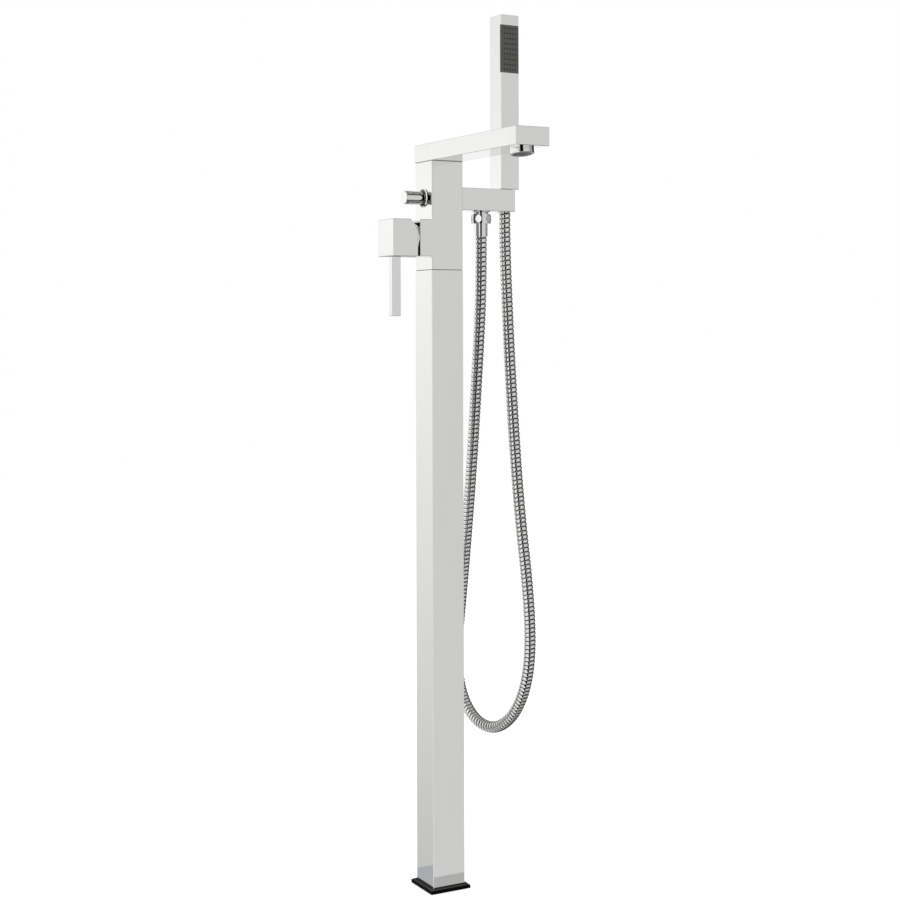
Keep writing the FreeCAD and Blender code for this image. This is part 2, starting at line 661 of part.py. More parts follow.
def lever_block():
    x0, x1, low, high = lever_span()
    half = LEVER_WIDTH / 2
    shape = soft_box(x0, x1, -half, half, low, high, EDGE)
    # the inner top corner is cut back on an arc, so that the block can tilt towards the boss
    arc_centre = V(x1 - LEVER_ARC_RADIUS, -half, LEVER_Z)
    keep = rod(arc_centre, Y_AXIS, LEVER_ARC_RADIUS, LEVER_WIDTH)
    corner = block(arc_centre.x, x1, -half, half, LEVER_Z, high)
    shape = shape.cut(corner.cut(keep))
    inside = half - LEVER_WALL
    pocket = block(x0 + LEVER_WALL, x1, -inside, inside, low + LEVER_WALL, high - LEVER_WALL)
    socket_end = PIVOT_X - STEM_REACH
    boss_start = x0 + LEVER_WALL
    boss_end = socket_end + LEVER_SOCKET_LENGTH
    boss = rod(V(boss_start, 0, LEVER_Z), X_AXIS, LEVER_BOSS_RADIUS, boss_end - boss_start)
    screw_x = lever_screw_x()
    screw_boss = rod(V(screw_x, 0, LEVER_Z), Y_AXIS, LEVER_SCREW_RADIUS + LEVER_WALL / 2, inside)
    shape = shape.cut(pocket.cut(boss.fuse(screw_boss)))
    stem_half = STEM_WIDTH / 2 + SLIP
    shape = shape.cut(
        block(socket_end, boss_end, -stem_half, stem_half, LEVER_Z - stem_half, LEVER_Z + stem_half)
    )
    hole = V(screw_x, STEM_WIDTH / 2, LEVER_Z)
    shape = shape.cut(rod(hole, Y_AXIS, LEVER_SCREW_RADIUS + SLIP, half - STEM_WIDTH / 2))
    bar_x = x0 + BAR_FROM_FACE + BAR_THICKNESS / 2
    shape = shape.cut(rod(V(bar_x, 0, low), Z_AXIS, BAR_SPIGOT_RADIUS + SLIP, LEVER_WALL))
    save("lever_block", shape)


def lever_bar():
    x0, x1, low, high = lever_span()
    start = x0 + BAR_FROM_FACE
    half = BAR_WIDTH / 2
    shape = soft_box(start, start + BAR_THICKNESS, -half, half, low - BAR_LENGTH, low, EDGE)
    shape = shape.fuse(
        block(start + EDGE, start + BAR_THICKNESS - EDGE, -half + EDGE, half - EDGE, low - EDGE, low)
    )
    spigot = V(start + BAR_THICKNESS / 2, 0, low)
    save("lever_bar", shape.fuse(rod(spigot, Z_AXIS, BAR_SPIGOT_RADIUS, BAR_SPIGOT_LENGTH)))


def lever_screw():
    start = V(lever_screw_x(), STEM_WIDTH / 2, LEVER_Z)
    key = LEVER_SCREW_RADIUS
    shape = rod(start, Y_AXIS, LEVER_SCREW_RADIUS, LEVER_SCREW_LENGTH)
    end = start + Y_AXIS * (LEVER_SCREW_LENGTH - key)
    save("lever_grub_screw", shape.cut(rod(end, Y_AXIS, LEVER_SCREW_RADIUS / 2, key)))
    cap = V(lever_screw_x(), LEVER_WIDTH / 2 - LEVER_CAP_LENGTH, LEVER_Z)
    save("lever_screw_cap", rod(cap, Y_AXIS, LEVER_SCREW_RADIUS, LEVER_CAP_LENGTH))


# ---------------------------------------------------------------- diverter


def bush_ring_place():
    return V(-BODY_FACE + BUSH_LENGTH / 2, 0, ARM_Z)


def diverter_bush():
    inner = V(-BODY_FACE, 0, ARM_Z)
    shape = rod(inner, X_AXIS, CHAMBER_RADIUS - SLIP, BUSH_LENGTH)
    shape = shape.fuse(rod(inner, -X_AXIS, COLLAR_RADIUS, COLLAR_LENGTH))
    through = V(-BODY_FACE - COLLAR_LENGTH, 0, ARM_Z)
    shape = shape.cut(rod(through, X_AXIS, SPINDLE_RADIUS + RUN, COLLAR_LENGTH + BUSH_LENGTH))
    groove = ring_groove(bush_ring_place(), X_AXIS, SPINDLE_RADIUS + RUN, BUSH_RING_SECTION)
    save("diverter_bush", shape.cut(groove))
    ring = o_ring(bush_ring_place(), X_AXIS, SPINDLE_RADIUS + RUN, BUSH_RING_SECTION)
    save("diverter_o_ring", ring)


def diverter_rosette():
    face = V(-BODY_FACE, 0, ARM_Z)
    shape = rod(face, -X_AXIS, ROSETTE_RADIUS, ROSETTE_RIM)
    rise = ROSETTE_HEIGHT - ROSETTE_RIM
    rim = V(-BODY_FACE - ROSETTE_RIM, 0, ARM_Z)
    shape = shape.fuse(cone(rim, -X_AXIS, ROSETTE_RADIUS, ROSETTE_TOP_RADIUS, rise))
    save("diverter_rosette", shape.cut(rod(face, -X_AXIS, COLLAR_RADIUS + SLIP, ROSETTE_HEIGHT)))


def knob_face():
    return -BODY_FACE - COLLAR_LENGTH - KNOB_STANDOFF


def diverter_spindle():
    washer = CHAMBER_END - VALVE_WASHER_HEIGHT
    start = washer - SPINDLE_DISC_HEIGHT
    shape = rod(V(start, 0, ARM_Z), X_AXIS, SPINDLE_DISC_RADIUS, SPINDLE_DISC_HEIGHT)
    end = knob_face() - SPINDLE_IN_KNOB
    shape = shape.fuse(rod(V(start, 0, ARM_Z), -X_AXIS, SPINDLE_RADIUS, start - end))
    save("diverter_spindle", shape)
    save("diverter_washer", rod(V(washer, 0, ARM_Z), X_AXIS, SPINDLE_DISC_RADIUS, VALVE_WASHER_HEIGHT))


def diverter_knob():
    shape = rod(V(knob_face(), 0, ARM_Z), -X_AXIS, KNOB_RADIUS, KNOB_LENGTH)
    rims = [edge for edge in shape.Edges if edge.BoundBox.XLength < EDGE]
    shape = shape.makeFillet(EDGE, rims)
    hole = rod(V(knob_face(), 0, ARM_Z), -X_AXIS, SPINDLE_RADIUS + SLIP, SPINDLE_IN_KNOB)
    save("diverter_knob", shape.cut(hole))


# ---------------------------------------------------------------- spout and aerator


def tilted(shape):
    """Turns a piece built downwards from the origin to the outlet's place and tilt."""
    shape.rotate(V(0, 0, 0), X_AXIS, -AERATOR_TILT)
    shape.translate(V(0, AERATOR_FROM_TIP - SPOUT_REACH, BODY_TOP))
    return shape


def aerator_sink():
    return SPOUT_WALL / math.cos(math.radians(AERATOR_TILT))


def spout():
    half = SPOUT_WIDTH / 2
    top = BODY_TOP + SPOUT_HEIGHT
    shape = soft_box(-half, half, -SPOUT_REACH, SPOUT_BACK, BODY_TOP, top, EDGE)
    inside = half - SPOUT_WALL
    shape = shape.cut(block(
        -inside, inside, SPOUT_WALL - SPOUT_REACH, SPOUT_BACK - SPOUT_WALL,
        BODY_TOP + SPOUT_WALL, top - SPOUT_WALL,
    ))
    shape = shape.cut(rod(V(0, 0, BODY_TOP), Z_AXIS, SPOUT_NIPPLE_RADIUS + SLIP, SPOUT_WALL))
    reach = 2 * aerator_sink()
    hole = tilted(rod(V(0, 0, -SPOUT_WALL), Z_AXIS, AERATOR_RADIUS + SLIP, SPOUT_WALL + reach))
    save("spout", shape.cut(hole))


def spout_joint():
    start = V(0, 0, BODY_TOP - SPOUT_NIPPLE_DEPTH)
    length = SPOUT_NIPPLE_DEPTH + SPOUT_WALL
    save("spout_nipple", tube(start, Z_AXIS, SPOUT_NIPPLE_RADIUS, SPOUT_NIPPLE_BORE, length))
    groove = V(0, 0, BODY_TOP - SPOUT_SEAL_HEIGHT)
    bore = SPOUT_SEAL_RADIUS - SPOUT_SEAL_WIDTH
    save("spout_seal", tube(groove, Z_AXIS, SPOUT_SEAL_RADIUS, bore, SPOUT_SEAL_HEIGHT))


def aerator():
    top = V(0, 0, aerator_sink())
    length = aerator_sink() + AERATOR_PROUD
    ring = rod(top, -Z_AXIS, AERATOR_RADIUS, length)
    rim = [edge for edge in ring.Edges if edge.BoundBox.ZMax < 0]
    ring = ring.makeFillet(EDGE, rim)
    save("aerator_housing", tilted(ring.cut(rod(top, -Z_AXIS, AERATOR_BORE, length))))
    fit = AERATOR_BORE - SLIP
    mesh_bottom = AERATOR_RECESS - AERATOR_PROUD
    mesh = rod(V(0, 0, mesh_bottom), Z_AXIS, fit, MESH_THICKNESS)
    count = int((fit - MESH_MARGIN) / MESH_PITCH)
    holes = []
    for i in range(-count, count + 1):
        for k in range(-count, count + 1):
            x = i * MESH_PITCH
            y = k * MESH_PITCH
            if math.hypot(x, y) + MESH_HOLE_RADIUS < fit - MESH_MARGIN:
                holes.append(rod(V(x, y, mesh_bottom), Z_AXIS, MESH_HOLE_RADIUS, MESH_THICKNESS))
    save("aerator_mesh", tilted(mesh.cut(Part.makeCompound(holes))))
    core_bottom = mesh_bottom + MESH_THICKNESS
    core = tube(V(0, 0, core_bottom), Z_AXIS, fit, fit - FLOW_CORE_WALL, FLOW_CORE_LENGTH)
    save("aerator_core", tilted(core))
    washer = V(0, 0, core_bottom + FLOW_CORE_LENGTH)
    save("aerator_washer", tilted(tube(washer, Z_AXIS, fit, fit - FLOW_CORE_WALL, AERATOR_WASHER_HEIGHT)))


# ---------------------------------------------------------------- arm of the hand shower


def socket_mouth(z0, z1):
    half = MOUTH_WIDTH / 2
    return block(SOCKET_X, SOCKET_X + ARM_WIDTH, -half, half, z0, z1)


def socket_cone(extra):
    """The cone nut's own taper, made wider by extra and run on down to the arm's underside."""
    slope = (CONE_TOP_RADIUS - CONE_BOTTOM_RADIUS) / CONE_HEIGHT
    top = CONE_TOP_RADIUS + extra
    return cone(V(SOCKET_X, 0, ARM_TOP), -Z_AXIS, top, top - slope * ARM_WIDTH, ARM_WIDTH)


def handset_arm():
    half = ARM_WIDTH / 2
    end = BODY_FACE + ARM_REACH
    shape = block(BODY_FACE, end, -half, half, ARM_BOTTOM, ARM_TOP)
    polished = outer_edges(shape, lambda box: box.XMax > BODY_FACE + EDGE)
    shape = shape.makeFillet(EDGE, polished)
    shape = shape.cut(socket_cone(AIR + LINER_WALL + SLIP))
    shape = shape.cut(socket_mouth(ARM_BOTTOM, ARM_TOP))
    start = V(BODY_FACE, 0, ARM_Z)
    shape = shape.cut(rod(start, X_AXIS, CONNECTOR_RADIUS + SLIP, CONNECTOR_IN_ARM))
    shape = shape.cut(rod(start, X_AXIS, CONNECTOR_RADIUS + ARM_RING_WIDTH + 2 * SLIP, ARM_RING_HEIGHT))
    shape = shape.cut(rod(start, X_AXIS, ARM_BORE, OUTLET_X - BODY_FACE))
    outlet = V(OUTLET_X, 0, ARM_BOTTOM)
    shape = shape.cut(rod(outlet, Z_AXIS, OUTLET_STUD_RADIUS + SLIP, OUTLET_STUD_LENGTH))
    save("handset_arm", shape.cut(rod(outlet, Z_AXIS, OUTLET_BORE, ARM_WIDTH / 2)))


def arm_connector():
    start = V(BODY_FACE - CONNECTOR_IN_BODY, 0, ARM_Z)
    length = CONNECTOR_IN_BODY + CONNECTOR_IN_ARM
    save("arm_connector", tube(start, X_AXIS, CONNECTOR_RADIUS, CONNECTOR_BORE, length))
    ring = V(BODY_FACE, 0, ARM_Z)
    bore = CONNECTOR_RADIUS + SLIP
    save("arm_seal", tube(ring, X_AXIS, bore + ARM_RING_WIDTH, bore, ARM_RING_HEIGHT))


def holder_liner():
    end = BODY_FACE + ARM_REACH
    half = ARM_WIDTH / 2
    shape = socket_cone(AIR + LINER_WALL).cut(socket_cone(AIR)).cut(socket_mouth(ARM_BOTTOM, ARM_TOP))
    beyond = block(end, end + ARM_WIDTH, -half, half, ARM_BOTTOM, ARM_TOP)
    save("holder_liner", shape.cut(beyond))


# ---------------------------------------------------------------- hose and its fittings


def hose_outlet():
    flange = V(OUTLET_X, 0, ARM_BOTTOM)
    shape = rod(flange, Z_AXIS, OUTLET_STUD_RADIUS, OUTLET_STUD_LENGTH)
    shape = shape.fuse(rod(flange, -Z_AXIS, OUTLET_FLANGE_RADIUS, OUTLET_FLANGE_HEIGHT))
    under = V(OUTLET_X, 0, ARM_BOTTOM - OUTLET_FLANGE_HEIGHT)
    half_drop = OUTLET_NECK_DROP / 2
    shape = shape.fuse(cone(under, -Z_AXIS, OUTLET_THREAD_RADIUS, OUTLET_NECK_RADIUS, half_drop))
    waist = V(OUTLET_X, 0, under.z - half_drop)
    shape = shape.fuse(cone(waist, -Z_AXIS, OUTLET_NECK_RADIUS, OUTLET_THREAD_RADIUS, half_drop))
    thread = V(OUTLET_X, 0, OUTLET_THREAD_TOP)
    shape = shape.fuse(rod(thread, -Z_AXIS, OUTLET_THREAD_RADIUS, OUTLET_THREAD_LENGTH))
    bottom = V(OUTLET_X, 0, OUTLET_THREAD_BOTTOM)
    length = ARM_BOTTOM + OUTLET_STUD_LENGTH - OUTLET_THREAD_BOTTOM
    save("hose_outlet_nipple", shape.cut(rod(bottom, Z_AXIS, OUTLET_BORE, length)))


def hose_nut():
    bottom = V(OUTLET_X, 0, HOSE_NUT_BOTTOM)
    shape = barrel_nut(
        bottom, HOSE_NUT_FLATS, HOSE_NUT_RADIUS, HOSE_NUT_END_RADIUS, HOSE_NUT_HEIGHT, HOSE_NUT_TURN,
    )
    floor = V(OUTLET_X, 0, NUT_FLOOR_TOP)
    shape = shape.cut(rod(floor, Z_AXIS, OUTLET_THREAD_RADIUS + SLIP, HOSE_NUT_HEIGHT))
    save("hose_nut", shape.cut(rod(bottom, Z_AXIS, FERRULE_NECK_RADIUS + SLIP, HOSE_NUT_HEIGHT)))
    washer = V(OUTLET_X, 0, OUTLET_THREAD_BOTTOM - WASHER_HEIGHT)
    save("hose_washer", tube(washer, Z_AXIS, OUTLET_THREAD_RADIUS, OUTLET_BORE, WASHER_HEIGHT))


def hose_ferrule():
    start = V(OUTLET_X, 0, HOSE_START)
    shape = rod(start, Z_AXIS, FERRULE_RADIUS, FERRULE_LENGTH)
    shape = shape.fuse(rod(start, Z_AXIS, FERRULE_NECK_RADIUS, FERRULE_LENGTH + HOSE_NUT_FLOOR))
    flange = V(OUTLET_X, 0, NUT_FLOOR_TOP)
    shape = shape.fuse(rod(flange, Z_AXIS, OUTLET_THREAD_RADIUS, FERRULE_FLANGE_HEIGHT))
    shape = shape.fuse(rod(start, -Z_AXIS, FERRULE_BARB_RADIUS, FERRULE_BARB_LENGTH))
    barb = V(OUTLET_X, 0, HOSE_START - FERRULE_BARB_LENGTH)
    through = FERRULE_BARB_LENGTH + FERRULE_LENGTH + HOSE_NUT_FLOOR + FERRULE_FLANGE_HEIGHT
    save("hose_ferrule", shape.cut(rod(barb, Z_AXIS, FERRULE_BORE, through)))


def hose_pieces():
    """The route as straight runs joined by tangent arcs: (start, end) or (start, middle, end) points."""
    points = [V(*p) for p in HOSE_ROUTE]
    pieces = []
    radii = []
    here = points[0]
    for before, corner, after in zip(points, points[1:], points[2:]):
        into = (corner - before).normalize()
        out = (after - corner).normalize()
        turn = into.getAngle(out)
        cut = CORNER_SHARE * min((corner - before).Length, (after - corner).Length)
        radius = cut / math.tan(turn / 2)
        start = corner - into * cut
        end = corner + out * cut
        bisector = (out - into).normalize()
        middle = corner + bisector * (math.hypot(radius, cut) - radius)
        pieces.append((here, start))
        pieces.append((start, middle, end))
        radii.append(round(radius, 1))
        here = end
    pieces.append((here, points[-1]))
    return pieces, radii


def hose_path():
    pieces, radii = hose_pieces()
    edges = []
    for piece in pieces:
        if len(piece) == 2:
            edges.append(Part.LineSegment(*piece).toShape())
        else:
            edges.append(Part.Arc(*piece).toShape())
    return Part.Wire(edges), radii


def place_on(path_edges, lengths, distance):
    """Point and direction on the path at a distance from its start."""
    rest = distance
    for edge, length in zip(path_edges, lengths):
        if rest <= length:
            break
        rest -= length
    rest = min(rest, length)
    parameter = edge.getParameterByLength(rest)
    return edge.valueAt(parameter), edge.tangentAt(parameter)


def circle_at(point, direction, radius):
    """A circle square to the path, whose own X axis stays as near to the frame's X axis as it can."""
    x_way = (X_AXIS - direction * X_AXIS.dot(direction)).normalize()
    y_way = direction.cross(x_way)
    turn = FreeCAD.Matrix(
        x_way.x, y_way.x, direction.x, point.x,
        x_way.y, y_way.y, direction.y, point.y,
        x_way.z, y_way.z, direction.z, point.z,
        0, 0, 0, 1,
    )
    ring = Part.makeCircle(radius)
    ring.Placement = FreeCAD.Placement(turn)
    return Part.Wire([ring])


def shower_hose():
    path, radii = hose_path()
    edges = path.OrderedEdges
    lengths = [edge.Length for edge in edges]
    total = sum(lengths)
    straight = 2 * HOSE_RADIUS
    pitch = (total - 2 * straight) / HOSE_RIBS
    # four circles a rib: groove, crest, crest, groove
    profile = [(0.0, HOSE_GROOVE_RADIUS), (0.2, HOSE_RADIUS), (0.7, HOSE_RADIUS), (0.9, HOSE_GROOVE_RADIUS)]
    stations = [(0.0, HOSE_RADIUS)]
    for rib in range(HOSE_RIBS):
        for share, radius in profile:
            stations.append((straight + (rib + share) * pitch, radius))
    stations.append((total - straight, HOSE_GROOVE_RADIUS))
    stations.append((total, HOSE_RADIUS))
    circles = []
    for distance, radius in stations:
        point, direction = place_on(edges, lengths, distance)
        circles.append(circle_at(point, direction, radius))
    outer = Part.makeLoft(circles, True, True)
    first, direction = place_on(edges, lengths, 0)
    bore = path.makePipeShell([circle_at(first, direction, HOSE_BORE_RADIUS)], True, True)
    shape = outer.cut(bore)
    save("shower_hose", shape)
    mean_area = math.pi * (HOSE_RADIUS ** 2 - HOSE_BORE_RADIUS ** 2)
    print("hose length", round(total, 1), "smallest radius", min(radii), "radii", radii)
    print("hose volume over full section times length", round(shape.Volume / (mean_area * total), 3))


def cone_nut():
    bottom = V(SOCKET_X, 0, CONE_BOTTOM)
    shape = cone(bottom, Z_AXIS, CONE_BOTTOM_RADIUS, CONE_TOP_RADIUS, CONE_HEIGHT)
    thread = V(SOCKET_X, 0, tail_bottom())
    shape = shape.cut(rod(thread, Z_AXIS, CONE_THREAD_RADIUS, CONE_HEIGHT))
    floor = V(SOCKET_X, 0, CONE_BOTTOM + CONE_FLOOR)
    cavity = thread.z - floor.z
    shape = shape.cut(rod(floor, Z_AXIS, END_FLANGE_RADIUS + RUN, cavity))
    save("hose_cone_nut", shape.cut(rod(bottom, Z_AXIS, FERRULE_NECK_RADIUS + RUN, CONE_FLOOR)))


def hose_end_fitting():
    collar = V(SOCKET_X, 0, HOSE_END)
    neck_length = END_COLLAR_HEIGHT + 2 * SLIP + CONE_FLOOR
    shape = rod(collar, Z_AXIS, HOSE_RADIUS, END_COLLAR_HEIGHT)
    shape = shape.fuse(rod(collar, Z_AXIS, FERRULE_NECK_RADIUS, neck_length))
    flange = V(SOCKET_X, 0, HOSE_END + neck_length)
    shape = shape.fuse(rod(flange, Z_AXIS, END_FLANGE_RADIUS, FERRULE_FLANGE_HEIGHT))
    shape = shape.fuse(rod(collar, -Z_AXIS, FERRULE_BARB_RADIUS, FERRULE_BARB_LENGTH))
    barb = V(SOCKET_X, 0, HOSE_END - FERRULE_BARB_LENGTH)
    through = FERRULE_BARB_LENGTH + neck_length + FERRULE_FLANGE_HEIGHT
    save("hose_end_ferrule", shape.cut(rod(barb, Z_AXIS, FERRULE_BORE, through)))
    washer = V(SOCKET_X, 0, flange.z + FERRULE_FLANGE_HEIGHT + SLIP)
    height = tail_bottom() - washer.z
    save("hose_end_washer", tube(washer, Z_AXIS, END_FLANGE_RADIUS, OUTLET_BORE, height))


# ---------------------------------------------------------------- handset


def turned(shape):
    """The handset stands turned a little on its axis, as it was set down."""
    shape.rotate(V(SOCKET_X, 0, 0), Z_AXIS, HANDSET_TURN)
    return shape


def tail_bottom():
    return HOSE_END + END_COLLAR_HEIGHT + 3 * SLIP + CONE_FLOOR + FERRULE_FLANGE_HEIGHT + WASHER_HEIGHT


def plate_z():
    top = HANDSET_TOP - PLATE_FROM_TOP
    return top - PLATE_HEIGHT, top


def handset_front():
    return -HANDSET_WIDTH / 2


def handset_shell():
    half = HANDSET_WIDTH / 2
    x0 = SOCKET_X - half
    x1 = SOCKET_X + half
    shape = soft_box(x0, x1, -half, half, HANDSET_BOTTOM, HANDSET_TOP, EDGE)
    shape = shape.cut(block(
        x0 + HANDSET_WALL, x1 - HANDSET_WALL, HANDSET_WALL - half, half - HANDSET_WALL,
        HANDSET_BOTTOM + HANDSET_WALL, HANDSET_TOP - HANDSET_WALL,
    ))
    low, high = plate_z()
    front = handset_front()
    shape = shape.cut(block(x0, x1, front, front + PLATE_THICKNESS, low, high))
    hole = rod(V(SOCKET_X, 0, HANDSET_BOTTOM), Z_AXIS, TAIL_THREAD_RADIUS + SLIP, HANDSET_WALL)
    save("handset_shell", turned(shape.cut(hole)))


def nozzle_places():
    low, high = plate_z()
    middle = (low + high) / 2
    places = []
    for column in range(NOZZLE_COLUMNS):
        for row in range(NOZZLE_ROWS):
            x = SOCKET_X + (column - (NOZZLE_COLUMNS - 1) / 2) * NOZZLE_PITCH_X
            z = middle + (row - (NOZZLE_ROWS - 1) / 2) * NOZZLE_PITCH_Z
            places.append((x, z))
    return places


def spray_plate():
    half = HANDSET_WIDTH / 2
    low, high = plate_z()
    front = handset_front()
    shape = block(SOCKET_X - half, SOCKET_X + half, front, front + PLATE_THICKNESS, low + SLIP, high - SLIP)
    corners = outer_edges(shape, lambda box: box.ZLength > EDGE and box.YMax < front + EDGE)
    shape = shape.makeFillet(EDGE, corners)
    holes = []
    for x, z in nozzle_places():
        holes.append(rod(V(x, front, z), Y_AXIS, NOZZLE_RADIUS + SLIP, PLATE_THICKNESS))
    save("spray_plate", turned(shape.cut(Part.makeCompound(holes))))


def nozzle_mat():
    half = HANDSET_WIDTH / 2 - HANDSET_WALL - AIR
    low, high = plate_z()
    back = handset_front() + PLATE_THICKNESS
    shape = block(
        SOCKET_X - half, SOCKET_X + half,
        back, back + MAT_THICKNESS,
        low + HANDSET_WALL, high - HANDSET_WALL,
    )
    tip = handset_front() - NOZZLE_PROUD
    jets = []
    for x, z in nozzle_places():
        shape = shape.fuse(rod(V(x, tip, z), Y_AXIS, NOZZLE_RADIUS, back - tip))
        jets.append(rod(V(x, tip, z), Y_AXIS, NOZZLE_JET_RADIUS, back - tip + MAT_THICKNESS))
    save("nozzle_mat", turned(shape.cut(Part.makeCompound(jets))))


def chamber_bottom():
    low, high = plate_z()
    return low - CHAMBER_WALL


def spray_chamber():
    half = HANDSET_WIDTH / 2 - HANDSET_WALL - AIR
    low, high = plate_z()
    front = handset_front() + PLATE_THICKNESS + MAT_THICKNESS
    back = front + CHAMBER_DEPTH
    x0 = SOCKET_X - half
    x1 = SOCKET_X + half
    shape = block(x0, x1, front, back, chamber_bottom(), high)
    shape = shape.cut(block(
        x0 + CHAMBER_WALL, x1 - CHAMBER_WALL, front, back - CHAMBER_WALL, low, high - CHAMBER_WALL,
    ))
    inlet = rod(V(SOCKET_X, 0, chamber_bottom()), Z_AXIS, TAIL_BORE, CHAMBER_WALL)
    save("spray_chamber", turned(shape.cut(inlet)))


def handset_inlet():
    start = V(SOCKET_X, 0, tail_bottom())
    flange = V(SOCKET_X, 0, HANDSET_BOTTOM + HANDSET_WALL)
    shape = rod(start, Z_AXIS, TAIL_THREAD_RADIUS, flange.z - start.z)
    shape = shape.fuse(rod(flange, Z_AXIS, TAIL_FLANGE_RADIUS, TAIL_FLANGE_HEIGHT))
    spigot = TAIL_FLANGE_HEIGHT + TAIL_SPIGOT_LENGTH
    shape = shape.fuse(rod(flange, Z_AXIS, TAIL_SPIGOT_RADIUS, spigot))
    through = flange.z - start.z + spigot
    save("handset_tail", turned(shape.cut(rod(start, Z_AXIS, TAIL_BORE, through))))
    duct = V(SOCKET_X, 0, flange.z + TAIL_FLANGE_HEIGHT)
    length = chamber_bottom() - duct.z
    save("handset_duct", turned(tube(duct, Z_AXIS, DUCT_RADIUS, TAIL_SPIGOT_RADIUS + SLIP, length)))


base_gasket()
foot_block()
column_sleeve()
column_grub_screws()
tie_rods()
risers()
column_top_seal()
mixer_body()
cartridge_housing()
ceramic_discs()
cartridge_carrier()
cartridge_nut()
cartridge_shroud()
cartridge_stem()
lever_block()
lever_bar()
lever_screw()
diverter_bush()
diverter_rosette()
diverter_spindle()
diverter_knob()
spout()
spout_joint()
aerator()
handset_arm()
arm_connector()
holder_liner()
hose_outlet()
hose_nut()
hose_ferrule()
cone_nut()
hose_end_fitting()
handset_shell()
spray_plate()
nozzle_mat()
spray_chamber()
handset_inlet()
shower_hose()
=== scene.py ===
"""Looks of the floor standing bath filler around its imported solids: metres, +Z up, the spout along -Y."""
import json
import math

import bpy
import numpy as np
from mathutils import Matrix, Vector

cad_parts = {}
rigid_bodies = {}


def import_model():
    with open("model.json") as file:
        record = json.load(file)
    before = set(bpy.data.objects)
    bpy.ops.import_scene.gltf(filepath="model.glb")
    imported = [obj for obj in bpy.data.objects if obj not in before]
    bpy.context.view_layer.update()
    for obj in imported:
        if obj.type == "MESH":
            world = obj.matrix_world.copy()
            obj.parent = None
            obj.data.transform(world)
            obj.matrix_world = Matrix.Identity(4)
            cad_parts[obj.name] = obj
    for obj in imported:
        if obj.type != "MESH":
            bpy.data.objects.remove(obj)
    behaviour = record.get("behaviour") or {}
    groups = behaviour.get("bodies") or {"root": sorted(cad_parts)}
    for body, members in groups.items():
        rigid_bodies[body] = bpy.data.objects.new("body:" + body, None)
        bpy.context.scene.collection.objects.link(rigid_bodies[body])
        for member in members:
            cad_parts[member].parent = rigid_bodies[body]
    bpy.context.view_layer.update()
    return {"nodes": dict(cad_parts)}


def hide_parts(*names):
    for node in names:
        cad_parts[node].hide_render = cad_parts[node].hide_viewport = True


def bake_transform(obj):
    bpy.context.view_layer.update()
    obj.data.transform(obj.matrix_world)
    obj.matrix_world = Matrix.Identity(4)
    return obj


for leftover in list(bpy.data.objects):
    bpy.data.objects.remove(leftover)
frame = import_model()
scene = bpy.context.scene
scene.view_settings.view_transform = "Standard"


# ---------------------------------------------------------------- the camera
# A level camera a little over two metres from the column, turned towards the lever's side. The lens is
# shifted down, which puts the horizon above the middle of the frame and keeps the column upright.
VIEW_TURN = math.radians(28.61)
CAMERA_DISTANCE = 2.1601
CAMERA_SIDESTEP = 0.01395
CAMERA_HEIGHT = 0.7338
CAMERA_ROLL = math.radians(-0.147)
LENS_MM = 66.16
SENSOR_MM = 36.0
HORIZON_ROW = 323.0
FRAME_ROWS = 900

ahead = Vector((math.sin(VIEW_TURN), math.cos(VIEW_TURN), 0.0))
aside = Vector((math.cos(VIEW_TURN), -math.sin(VIEW_TURN), 0.0))
upward = Vector((0.0, 0.0, 1.0))
lens = bpy.data.cameras.new("lens")
lens.lens = LENS_MM
lens.sensor_width = SENSOR_MM
lens.shift_y = (HORIZON_ROW - FRAME_ROWS / 2) / FRAME_ROWS
camera = bpy.data.objects.new("camera", lens)
stand = aside * CAMERA_SIDESTEP - ahead * CAMERA_DISTANCE + upward * CAMERA_HEIGHT
turn = Matrix((aside, upward, -ahead)).transposed().to_4x4()
camera.matrix_world = Matrix.Translation(stand) @ turn @ Matrix.Rotation(CAMERA_ROLL, 4, "Z")
scene.collection.objects.link(camera)
scene.camera = camera


# ---------------------------------------------------------------- the studio
# White paper walls with a wide grey screen on the right of the camera, a dark gap where the camera
# stands, and darkness behind the screen. Low down on the right it is dark too. The floor is pale.
X_AXIS = (1.0, 0.0, 0.0)
Y_AXIS = (0.0, 1.0, 0.0)
Z_AXIS = (0.0, 0.0, 1.0)


